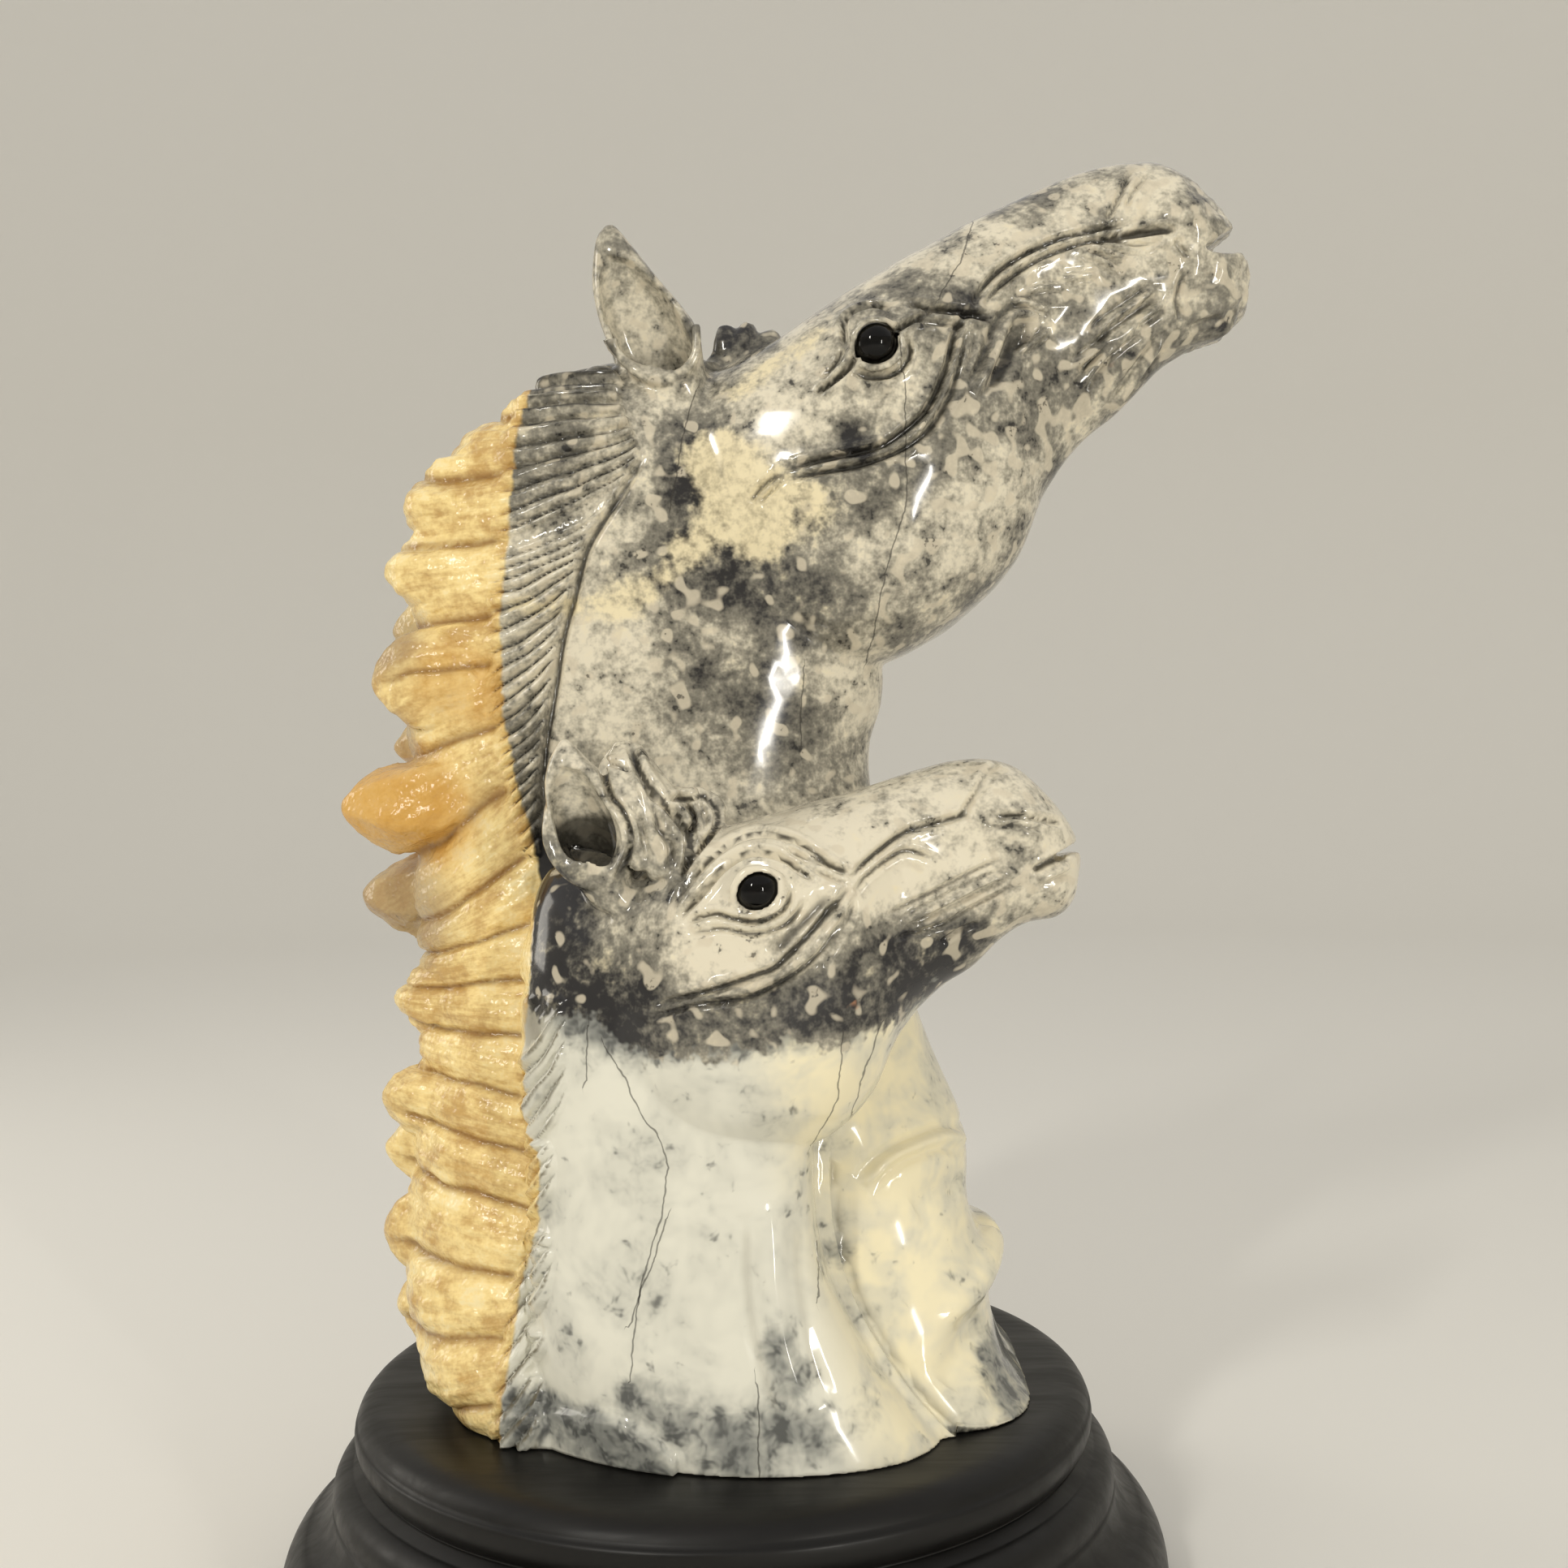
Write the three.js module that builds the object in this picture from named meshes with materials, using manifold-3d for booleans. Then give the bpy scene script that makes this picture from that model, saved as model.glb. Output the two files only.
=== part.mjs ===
// A mare's head and a foal's head carved from one stone with a crystal back, inlaid eyes,
// on a turned round stand. Millimetres, +Z up, +X the way both heads face, -Y the foal's side.
// The origin is the centre of the stand's underside.
import * as THREE from "three";
import { mergeVertices } from "three/addons/utils/BufferGeometryUtils.js";
import Module from "manifold-3d";

const wasm = await Module();
wasm.setup();

// Driving dimensions
const STAND_TOP = 50; // height of the face that the stone rests on
const STAND_SEGMENTS = 44;
const REST_GAP = 0.3; // clearance between pieces that touch
const MARE_MIDDLE = 5; // Y of the mare's plane of symmetry
const FOAL_MIDDLE = -38; // Y of the foal's plane of symmetry
const FOAL_NECK_MIDDLE = -35;
const MARE_EYE = { x: 40.3, z: 300, radius: 5.2, sunk: 1.6 };
const FOAL_EYE = { x: 10.9, z: 173.6, radius: 4.6, sunk: 1.4 };
const NEAR = -1; // the foal's side
const FAR = 1;

// Outlines seen from the foal's side, as sections that run from one outline to the other.
// from, to: their ends [x, z]. half: half thickness across Y. widest: where along it that is.
// before, after: squareness on each side of the widest place, where 2 is an ellipse.
// shift: how far the section's middle stands off the form's own.
function section(from, to, half, widest = 0.5, before = 2.2, after = 2.2, shift = 0) {
  return { from, to, half, widest, before, after, shift };
}

// Mare's head, brow line to jaw line, from the poll to the lips
const MARE_HEAD = [
  section([-8, 297], [-12, 257], 18, 0.45, 2.3, 2.6),
  section([5, 301.5], [-2, 238], 24.5, 0.42, 2.4, 2.8),
  section([18.6, 308.5], [16, 226.5], 28.5, 0.4, 2.4, 3),
  section([31, 317], [36, 224], 29.5, 0.38, 2.4, 3),
  section([45, 325], [59, 234.5], 28.5, 0.36, 2.4, 2.8),
  section([57.2, 332], [76, 251], 25.5, 0.36, 2.4, 2.4),
  section([68.6, 338.4], [84, 268], 21.8, 0.38, 2.4, 2.1),
  section([80.5, 344], [93, 280.5], 19, 0.42, 2.3, 2),
  section([92.5, 348.7], [104, 290], 17.5, 0.45, 2.2, 2),
  section([103.3, 351.3], [114.5, 300], 17, 0.45, 2.2, 2.2),
  section([113.2, 351], [123.5, 305.5], 16.8, 0.45, 2.2, 2.2),
  section([122, 346], [129.5, 307.3], 15.2, 0.45, 2.2, 2.2),
  section([128.6, 339.6], [134.4, 313], 11.5, 0.45, 2.1, 2.1),
  section([133, 333.5], [136.8, 321], 5.5, 0.5, 2, 2),
];

// Mare's neck and chest, back edge to throat, from the poll down to the stand
const MARE_BODY = [
  section([-15.6, 304], [4, 302], 9, 0.5, 2.2, 2.2),
  section([-35, 299.5], [16, 288], 19, 0.5, 2.4, 2.2),
  section([-50, 292], [27, 263], 25, 0.48, 2.6, 2.2),
  section([-61, 283.5], [35, 242], 27, 0.46, 2.8, 2.2),
  section([-69, 270], [42, 227], 27.5, 0.45, 3, 2.2),
  section([-73, 254], [42, 216], 27.5, 0.45, 3, 2.2),
  section([-75, 234], [39, 206], 28, 0.46, 3, 2.2),
  section([-76, 214], [39, 196], 29, 0.48, 3, 2.2),
  section([-76, 194], [41, 182], 30.5, 0.5, 3, 2.3),
  section([-75, 170], [45, 164], 32.5, 0.5, 3, 2.3),
  section([-73, 149], [48, 145], 34.5, 0.5, 3, 2.4, -0.5),
  section([-73, 130.5], [53.5, 128.5], 36.5, 0.5, 3, 2.5, -1.5),
  section([-75, 112], [60.5, 110], 39, 0.52, 3, 2.7, -2.5),
  section([-76, 93.5], [59.5, 93], 41.5, 0.52, 3, 2.8, -3.5),
  section([-76, 84], [70, 81.5], 43.5, 0.52, 3.2, 3, -4),
  section([-75, 70], [64.5, 68], 46, 0.52, 3.4, 3.2, -5),
  section([-70, 58], [70, 57], 49, 0.52, 3.8, 3.6, -6),
  section([-63, 50], [74, 50], 50, 0.52, 4.2, 4, -6.5),
];

// Foal's head, brow line to jaw line, from the poll to the lips
const FOAL_HEAD = [
  section([-14, 179], [-30, 148], 17, 0.45, 2.3, 2.8),
  section([-4.7, 183.5], [-23, 130], 23, 0.42, 2.4, 3),
  section([3.7, 186.2], [-10, 117.5], 27, 0.4, 2.4, 3.3),
  section([13, 188.8], [8, 113], 28.5, 0.38, 2.4, 3.4),
  section([23.2, 191.8], [26, 117], 27, 0.36, 2.4, 3),
  section([32.5, 194.3], [36.5, 127], 23.5, 0.36, 2.4, 2.5),
  section([41.7, 197], [42.5, 139], 20, 0.4, 2.4, 2.2),
  section([49.3, 199.2], [50.4, 148], 17.8, 0.44, 2.2, 2),
  section([56.8, 200.8], [58.8, 153.8], 16.2, 0.45, 2.2, 2),
  section([63.3, 201], [65.8, 160.2], 15.8, 0.45, 2.2, 2.2),
  section([69.7, 199], [71.9, 163.8], 15, 0.45, 2.2, 2.2),
  section([75.8, 193.6], [78.5, 165], 12.5, 0.45, 2.2, 2.2),
  section([80.6, 187.8], [82.4, 168.5], 8.8, 0.45, 2.1, 2.1),
  section([83.6, 182], [83.8, 174], 3.8, 0.5, 2, 2),
];

// Foal's neck, mane side to throat, from inside the head down to the stand
const FOAL_NECK = [
  section([-34, 182], [2, 179], 7, 0.5, 2.2, 2.2, 4),
  section([-40, 173], [14, 168], 17, 0.5, 2.2, 2.2, 2),
  section([-43, 158], [22, 155], 23, 0.5, 2.2, 2.4),
  section([-43.5, 145], [23, 143], 25, 0.5, 2.2, 2.6),
  section([-43, 130.5], [24.5, 129.5], 25.5, 0.5, 2.2, 2.6),
  section([-42.5, 118], [22.5, 117], 25.5, 0.5, 2.2, 2.8),
  section([-42, 103], [22.3, 102.4], 26, 0.5, 2.2, 2.9),
  section([-42, 90.5], [24, 89.6], 27.5, 0.5, 2.2, 3),
  section([-42, 78], [29, 77], 29, 0.5, 2.2, 3),
  section([-42, 65], [37, 64.5], 31, 0.53, 2, 2.8),
  section([-42.5, 56.5], [45, 56], 32.5, 0.55, 1.8, 2.5),
  section([-44, 50], [52, 50], 33.5, 0.56, 1.7, 2.4),
];

// Soft round swellings (or hollows, where height is negative) on both sides of a head
const MARE_SWELLS = [
  { x: 42, z: 262, radius: 40, height: 2.4 }, // jowl
  { x: 41, z: 303, radius: 15, height: 2.2 }, // brow
  { x: 76, z: 305, radius: 22, height: -2 }, // hollow before the cheek
  { x: 119, z: 333, radius: 12, height: 2 }, // nostril
  { x: 20, z: 297, radius: 11, height: -1.8 }, // temple
];
const FOAL_SWELLS = [
  { x: 6, z: 146, radius: 32, height: 2.4 },
  { x: 11, z: 176, radius: 12, height: 2 },
  { x: 40, z: 170, radius: 15, height: -1.6 },
  { x: 71, z: 185, radius: 9, height: 1.5 },
];
// Scoops along the broken front edge of the chest
const CHEST_SWELLS = [
  { x: 60, z: 124, radius: 19, height: -4 },
  { x: 62, z: 98, radius: 14, height: -3.5 },
  { x: 66, z: 70, radius: 17, height: -4.5 },
  { x: 36, z: 88, radius: 20, height: -3 },
];

// Mare's ear: sections from its back rim to its front rim, from the stem to the tip
const MARE_EAR = {
  sections: [
    section([-3, 275], [12, 272], 6),
    section([-13, 289], [4, 282], 7.5),
    section([-21, 298.5], [1, 290.5], 8.2),
    section([-25.4, 306.5], [-0.8, 298], 8.4),
    section([-27.6, 315], [-3, 308], 7.8),
    section([-28, 323], [-11.3, 319], 5.8),
    section([-26.8, 329.5], [-18, 327.5], 3.4),
    section([-24.4, 332.6], [-22, 332.6], 1),
  ],
  hollow: [
    section([-17, 296.5], [-8, 293.5], 4),
    section([-23, 302.5], [-2.4, 296], 8),
    section([-26, 310], [-2.6, 302.5], 9),
    section([-26.8, 318], [-8, 313.5], 8),
    section([-26, 325.5], [-15.2, 322.5], 5),
  ],
  stem: 12, // distance from the plane of symmetry at the stem and at the tip
  tip: 19,
};
const FOAL_EAR = {
  sections: [
    section([-26, 170], [-12, 166], 5.5),
    section([-31.6, 178.5], [-16.6, 174], 6.6),
    section([-34.6, 186.5], [-17.2, 181.5], 7),
    section([-35.6, 195], [-19.6, 190.5], 6.4),
    section([-34.6, 201.5], [-23.6, 199], 4.4),
    section([-32, 206.6], [-30, 206.6], 0.9),
  ],
  hollow: [
    section([-28, 176.8], [-21, 175.2], 3),
    section([-31.8, 181.5], [-18.2, 177.6], 6.6),
    section([-34, 188.5], [-17.9, 183.6], 7.6),
    section([-34.8, 195], [-20.2, 191], 7.2),
    section([-34, 201.3], [-24.6, 199.2], 4.8),
  ],
  stem: 12,
  tip: 15,
};
// The foal's far ear and the forelocks, which lie against the mare's neck and poll
const FOAL_FAR_EAR = [
  section([-22, 178], [-8, 178], 6),
  section([-24.5, 189], [-10, 187], 6.2),
  section([-27, 198.5], [-13.5, 195], 5),
  section([-24.5, 204], [-17.5, 202.5], 2.8),
  section([-21, 207], [-19.8, 207], 0.9),
];
const FORELOCKS = [
  { path: [[-14, -31, 194], [-8, -37, 190], [-4.5, -42, 183.5], [-8, -48, 175]], radius: 4.6 },
  { path: [[-10, -30, 190], [-3, -32, 191.5], [0.5, -37, 187.5], [-2, -43, 180]], radius: 4.6 },
  { path: [[-2, 2, 302], [5, 3, 306], [9, 4, 308], [13, 5, 303]], radius: 4.2 },
];

// Locks of the mane, as ridges that sweep back and down from the neck.
// bow: how quickly the line of roots falls back from its top, 1 being a straight line.
const LOCK_SIDES = 4;
const LOCK_STEPS = 4;
const MARE_LOCKS = { count: 9, top: [-13, 289], bottom: [-42, 186], bow: 2.6, reach: 40, radius: 4.2 };
const FAR_LOCKS = { count: 5, top: [-17, 282], bottom: [-46, 196], bow: 2.4, reach: 34, radius: 5.5 };
const FOAL_LOCKS = { count: 6, top: [-32, 141], bottom: [-36, 66], bow: 1, reach: 20, radius: 3.6 };

// Crystal points on the back edge: height, how far out the tip stands, radius, tilt and side
const CRYSTALS = [
  { z: 266, tip: -76.5, radius: 12, tilt: 0.35, y: -13 },
  { z: 250, tip: -81, radius: 11, tilt: 0.1, y: -14 },
  { z: 223, tip: -84, radius: 14, tilt: -0.15, y: -14 },
  { z: 207, tip: -83, radius: 9, tilt: 0, y: 4 },
  { z: 192, tip: -91, radius: 14, tilt: -0.1, y: -14 },
  { z: 169, tip: -92, radius: 13, tilt: -0.05, y: 6 },
  { z: 145, tip: -79, radius: 10, tilt: 0, y: -16 },
  { z: 121, tip: -82.5, radius: 11, tilt: -0.2, y: -15 },
  { z: 107, tip: -84, radius: 10, tilt: -0.1, y: -8 },
  { z: 89, tip: -83, radius: 12, tilt: 0.05, y: -17 },
  { z: 70, tip: -79.5, radius: 12, tilt: -0.1, y: -14 },
  { z: 237, tip: -84, radius: 12, tilt: 0, y: 9 },
  { z: 259, tip: -79, radius: 12, tilt: 0.2, y: 20 },
  { z: 213, tip: -82, radius: 13, tilt: 0, y: 24 },
  { z: 186, tip: -85, radius: 12, tilt: 0.1, y: 27 },
  { z: 137, tip: -83, radius: 14, tilt: 0, y: 20 },
  { z: 103, tip: -82, radius: 13, tilt: -0.1, y: 26 },
  { z: 74, tip: -80, radius: 13, tilt: 0, y: 22 },
];
const CRYSTAL_ROOT = -58; // X where the crystals leave the stone

// Each form's samples along it and around it
const HEAD_GRID = [22, 18];
const BODY_GRID = [26, 20];
const NECK_GRID = [12, 16];
const EAR_GRID = [6, 9];

// A smooth curve through the sections, read at t from 0 to 1
function sectionCurves(sections) {
  const through = (pick) =>
    new THREE.CatmullRomCurve3(
      sections.map((s) => new THREE.Vector3(...pick(s))),
      false,
      "catmullrom",
      0.5,
    );
  const from = through((s) => [s.from[0], 0, s.from[1]]);
  const to = through((s) => [s.to[0], 0, s.to[1]]);
  const shape = through((s) => [s.half, s.widest, 0]);
  const square = through((s) => [s.before, s.after, s.shift]);
  return (t) => ({
    from: from.getPoint(t),
    to: to.getPoint(t),
    half: shape.getPoint(t).x,
    widest: shape.getPoint(t).y,
    before: square.getPoint(t).x,
    after: square.getPoint(t).y,
    shift: square.getPoint(t).z,
  });
}

function swellAt(swells, x, z) {
  let height = 0;
  for (const swell of swells) {
    const share = Math.hypot(x - swell.x, z - swell.z) / swell.radius;
    if (share < 1) height += swell.height * (1 - share * share) ** 2;
  }
  return height;
}

// The point of a section at an angle round it: 0 at its "from" end, PI at its "to" end
function sectionPoint(s, angle, middle, swells) {
  const c = Math.cos(angle);
  const power = 2 / (c > 0 ? s.before : s.after);
  const span = c > 0 ? s.widest : 1 - s.widest;
  const along = s.widest - Math.sign(c) * span * Math.abs(c) ** power;
  const spread = Math.abs(Math.sin(angle));
  const point = s.from.clone().lerp(s.to, along);
  const out = s.half * spread ** power + swellAt(swells, point.x, point.z) * spread;
  point.y = middle + s.shift + Math.sign(Math.sin(angle)) * out;
  return point;
}

// Distance from a form's middle to its skin at [x, z], read from its nearest section.
// It is 0 where [x, z] lies clear of the form.
function depthAt(sections, swells, side, x, z) {
  const at = sectionCurves(sections);
  const spot = new THREE.Vector3(x, 0, z);
  const samples = 120;
  let best = { gap: Infinity };
  for (let i = 0; i <= samples; i++) {
    const s = at(i / samples);
    const line = new THREE.Line3(s.from, s.to);
    const along = line.closestPointToPointParameter(spot, true);
    const gap = line.at(along, new THREE.Vector3()).distanceTo(spot);
    if (gap < best.gap) best = { gap, along, s };
  }
  const clear = 3;
  if (best.gap > clear) return 0;
  const { along, s } = best;
  const before = along < s.widest;
  const share = before ? 1 - along / s.widest : (along - s.widest) / (1 - s.widest);
  const power = before ? s.before : s.after;
  return side * s.shift + s.half * (1 - share ** power) ** (1 / power) + swellAt(swells, x, z);
}

// Y of the stone's outermost skin at [x, z] on one side, the foal's neck lying on the near one
function skinAt(side, x, z) {
  const mare = MARE_MIDDLE + side * depthAt(MARE_BODY, CHEST_SWELLS, side, x, z);
  const depth = depthAt(FOAL_NECK, [], side, x, z);
  if (side === FAR || depth === 0) return mare;
  return Math.min(mare, FOAL_NECK_MIDDLE - depth);
}

// A closed skin over rings of points, with a fan over each end
function skin(rings) {
  const around = rings[0].length;
  const middleOf = (ring) =>
    ring.reduce((sum, p) => sum.add(p), new THREE.Vector3()).divideScalar(around);
  const points = [...rings.flat(), middleOf(rings[0]), middleOf(rings.at(-1))];
  const start = rings.length * around;
  const faces = [];
  for (let j = 0; j < around; j++) {
    const next = (j + 1) % around;
    for (let i = 0; i + 1 < rings.length; i++) {
      const a = i * around;
      const b = a + around;
      faces.push(a + j, b + j, b + next, a + j, b + next, a + next);
    }
    const last = (rings.length - 1) * around;
    faces.push(start, j, next, start + 1, last + next, last + j);
  }
  return new THREE.BufferGeometry().setFromPoints(points).setIndex(faces);
}

function loft(sections, [along, around], middle, swells = [], lean = 0) {
  const at = sectionCurves(sections);
  const rings = [];
  for (let i = 0; i <= along; i++) {
    const t = i / along;
    const ring = [];
    for (let j = 0; j < around; j++) {
      const angle = ((j + 0.5) / around) * 2 * Math.PI;
      ring.push(sectionPoint(at(t), angle, middle + lean * t, swells));
    }
    rings.push(ring);
  }
  return skin(rings);
}

// A lock of hair: a round ridge along a curve, thick in the middle and fine at both ends
function lock(points, radius) {
  const curve = new THREE.CatmullRomCurve3(points.map((p) => new THREE.Vector3(...p)));
  const frames = curve.computeFrenetFrames(LOCK_STEPS);
  const rings = [];
  for (let i = 0; i <= LOCK_STEPS; i++) {
    const t = i / LOCK_STEPS;
    const size = radius * (0.35 + 0.65 * Math.sin(Math.PI * (0.12 + 0.76 * t)));
    const ring = [];
    for (let j = 0; j < LOCK_SIDES; j++) {
      const angle = (j / LOCK_SIDES) * 2 * Math.PI;
      ring.push(
        curve
          .getPoint(t)
          .addScaledVector(frames.normals[i], size * Math.cos(angle))
          .addScaledVector(frames.binormals[i], size * Math.sin(angle)),
      );
    }
    rings.push(ring);
  }
  return skin(rings);
}

// A geometry as a solid, whichever way its faces were wound
function solid(geometry) {
  const plain = geometry.clone();
  plain.deleteAttribute("normal");
  plain.deleteAttribute("uv");
  const merged = mergeVertices(plain, 1e-4);
  const vertProperties = merged.attributes.position.array;
  const triVerts = new Uint32Array(merged.index.array);
  const made = new wasm.Manifold(new wasm.Mesh({ numProp: 3, vertProperties, triVerts }));
  if (made.volume() > 0) return made;
  return new wasm.Manifold(
    new wasm.Mesh({ numProp: 3, vertProperties, triVerts: triVerts.reverse() }),
  );
}

function ball(eye, middle, side, sections, swells, grow = 0) {
  const out = depthAt(sections, swells, side, eye.x, eye.z) - eye.sunk;
  return new THREE.SphereGeometry(eye.radius + grow, 12, 7)
    .rotateX(Math.PI / 2)
    .translate(eye.x, middle + side * out, eye.z);
}

// The rolled lids round an eye
function lids(eye, middle, side, sections, swells) {
  const out = depthAt(sections, swells, side, eye.x, eye.z) - eye.sunk * 0.4;
  return new THREE.TorusGeometry(eye.radius * 1.16, eye.radius * 0.3, 4, 10)
    .scale(1.12, 0.95, 1)
    .rotateZ(0.35)
    .rotateX(Math.PI / 2)
    .translate(eye.x, middle + side * out, eye.z);
}

function ear({ sections, hollow, stem, tip }, middle, side) {
  const lean = side * (tip - stem);
  const foot = middle + side * stem;
  const outer = solid(loft(sections, EAR_GRID, foot, [], lean));
  const opening = side * 6;
  return outer.subtract(solid(loft(hollow, EAR_GRID, foot + opening + lean * 0.4, [], lean * 0.5)));
}

// The mane's locks on one side, from the root line down to the back of the stone
function mane({ count, top, bottom, bow, reach, radius }, side) {
  const locks = [];
  for (let i = 0; i < count; i++) {
    const t = i / (count - 1);
    const x = bottom[0] + (top[0] - bottom[0]) * (1 - t) ** bow;
    const z = top[1] + (bottom[1] - top[1]) * t;
    const length = reach * (1 - 0.35 * t);
    const drop = length * (0.15 + 0.75 * t);
    const path = [0, 0.35, 0.7, 1].map((share) => {
      const px = x - length * share;
      const pz = z - drop * share ** 0.8;
      return [px, skinAt(side, px, pz) - side * radius * 0.45, pz];
    });
    locks.push(solid(lock(path, radius)));
  }
  return locks;
}

function crystal({ z, tip, radius, tilt, y }) {
  const length = CRYSTAL_ROOT - tip;
  const profile = [
    [0, 0],
    [radius, 0],
    [radius * 0.88, length * 0.62],
    [radius * 0.34, length * 0.97],
    [0, length],
  ].map((p) => new THREE.Vector2(...p));
  return new THREE.LatheGeometry(profile, 6)
    .rotateZ(Math.PI / 2 - tilt)
    .translate(CRYSTAL_ROOT, MARE_MIDDLE + y, z);
}

// The open mouth is a wedge cut in from the lips
function mouth(corner, upper, lower, middle) {
  const width = 60;
  const wedge = new THREE.Shape([corner, upper, lower].map((p) => new THREE.Vector2(...p)));
  return new THREE.ExtrudeGeometry(wedge, { depth: width, bevelEnabled: false })
    .rotateX(Math.PI / 2)
    .translate(0, middle + width / 2, 0);
}

function carveStone() {
  const join = (forms) => forms.reduce((whole, form) => whole.add(form));
  const heads = [
    solid(loft(MARE_HEAD, HEAD_GRID, MARE_MIDDLE, MARE_SWELLS)),
    solid(loft(FOAL_HEAD, HEAD_GRID, FOAL_MIDDLE, FOAL_SWELLS)),
    ...[NEAR, FAR].map((side) =>
      solid(lids(MARE_EYE, MARE_MIDDLE, side, MARE_HEAD, MARE_SWELLS)),
    ),
    solid(lids(FOAL_EYE, FOAL_MIDDLE, NEAR, FOAL_HEAD, FOAL_SWELLS)),
  ];
  const necks = [
    solid(loft(MARE_BODY, BODY_GRID, MARE_MIDDLE, CHEST_SWELLS)),
    solid(loft(FOAL_NECK, NECK_GRID, FOAL_NECK_MIDDLE)),
    ...mane(MARE_LOCKS, NEAR),
    ...mane(FAR_LOCKS, FAR),
    ...mane(FOAL_LOCKS, NEAR),
    ...CRYSTALS.map((c) => solid(crystal(c))),
  ];
  const ears = [
    ...[NEAR, FAR].map((side) => ear(MARE_EAR, MARE_MIDDLE, side)),
    ear(FOAL_EAR, FOAL_MIDDLE, NEAR),
    solid(loft(FOAL_FAR_EAR, EAR_GRID, -30, [], 3)),
    ...FORELOCKS.map((f) => solid(lock(f.path, f.radius))),
  ];
  const sockets = [
    ball(MARE_EYE, MARE_MIDDLE, NEAR, MARE_HEAD, MARE_SWELLS, REST_GAP),
    ball(MARE_EYE, MARE_MIDDLE, FAR, MARE_HEAD, MARE_SWELLS, REST_GAP),
    ball(FOAL_EYE, FOAL_MIDDLE, NEAR, FOAL_HEAD, FOAL_SWELLS, REST_GAP),
  ];
  const mouths = [
    mouth([121, 326.8], [140, 334], [146, 325], MARE_MIDDLE),
    mouth([73, 177], [90, 187.5], [90, 184.5], FOAL_MIDDLE),
  ];
  let stone = join([...heads, ...necks, ...ears]);
  for (const cut of [...sockets, ...mouths]) stone = stone.subtract(solid(cut));
  // The stone is sawn flat where it rests on the stand
  const below = new THREE.BoxGeometry(400, 400, 100).translate(0, 0, STAND_TOP + REST_GAP - 50);
  return stone.subtract(solid(below));
}

// The stand is one turning: a round-edged top, a bead and a flared foot
function standProfile() {
  const path = new THREE.Path();
  path.moveTo(0, 0);
  path.lineTo(105, 0);
  path.quadraticCurveTo(108.5, 1, 108, 7);
  path.quadraticCurveTo(107.5, 15, 102, 19);
  path.quadraticCurveTo(96.5, 22, 95.5, 27);
  path.quadraticCurveTo(96.5, 33, 91, 35);
  path.lineTo(88, 37);
  path.quadraticCurveTo(91.5, 41, 90, 45);
  path.quadraticCurveTo(88.5, STAND_TOP, 82, STAND_TOP);
  path.lineTo(0, STAND_TOP);
  return path.getPoints(2);
}

function mesh(name, geometry, color, roughness) {
  const material = new THREE.MeshStandardMaterial({ color, roughness, metalness: 0 });
  const made = new THREE.Mesh(geometry, material);
  made.name = name;
  return made;
}

function solidMesh(name, manifold, color, roughness) {
  const { vertProperties, triVerts, numProp } = manifold.getMesh();
  const geometry = new THREE.BufferGeometry();
  const buffer = new THREE.InterleavedBuffer(vertProperties, numProp);
  geometry.setAttribute("position", new THREE.InterleavedBufferAttribute(buffer, 3, 0));
  geometry.setIndex(new THREE.BufferAttribute(triVerts, 1));
  geometry.computeVertexNormals();
  return mesh(name, geometry, color, roughness);
}

const carving = new THREE.Group();
carving.add(solidMesh("carved_stone", carveStone(), "#a9a79d", 0.3));
const BEAD_COLOR = "#0b0b0c";
const BEADS = [
  ["mare_right_eye", MARE_EYE, MARE_MIDDLE, NEAR, MARE_HEAD, MARE_SWELLS],
  ["mare_left_eye", MARE_EYE, MARE_MIDDLE, FAR, MARE_HEAD, MARE_SWELLS],
  ["foal_right_eye", FOAL_EYE, FOAL_MIDDLE, NEAR, FOAL_HEAD, FOAL_SWELLS],
];
for (const [name, ...place] of BEADS) carving.add(mesh(name, ball(...place), BEAD_COLOR, 0.05));
const stand = new THREE.LatheGeometry(standProfile(), STAND_SEGMENTS).rotateX(Math.PI / 2);
carving.add(mesh("round_stand", stand, "#15130f", 0.5));

export default carving;
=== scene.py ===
# The looks of a horse and foal carving on a round stand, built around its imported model.
# Tables are in millimetres in the model's frame: +Z up, +X the way both heads face,
# -Y the foal's side, and the origin at the centre of the stand's underside.
import math

import bmesh
import bpy
import numpy as np
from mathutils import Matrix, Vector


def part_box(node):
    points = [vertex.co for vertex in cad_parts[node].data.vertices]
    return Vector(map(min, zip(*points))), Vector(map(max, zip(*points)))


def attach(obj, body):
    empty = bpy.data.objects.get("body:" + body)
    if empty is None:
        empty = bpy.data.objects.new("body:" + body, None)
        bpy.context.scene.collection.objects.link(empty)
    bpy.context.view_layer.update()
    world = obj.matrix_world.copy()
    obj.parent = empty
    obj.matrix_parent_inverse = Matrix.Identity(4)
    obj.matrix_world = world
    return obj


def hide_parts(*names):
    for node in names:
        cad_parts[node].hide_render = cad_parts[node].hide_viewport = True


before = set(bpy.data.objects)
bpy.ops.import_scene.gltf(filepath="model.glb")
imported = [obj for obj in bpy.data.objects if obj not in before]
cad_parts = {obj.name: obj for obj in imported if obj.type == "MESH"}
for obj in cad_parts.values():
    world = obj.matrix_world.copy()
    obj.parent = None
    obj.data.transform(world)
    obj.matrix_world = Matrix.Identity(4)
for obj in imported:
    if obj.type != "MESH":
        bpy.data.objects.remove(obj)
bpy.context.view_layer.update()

# Driving dimensions
MM = 0.001
STAND_TOP = 50
REST_GAP = 0.3
MARE_MIDDLE = 5
FOAL_MIDDLE = -38
FOAL_NECK_MIDDLE = -35
NEAR = -1
FAR = 1
VOXEL = 0.62
MOST_TRIANGLES = 190000
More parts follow.
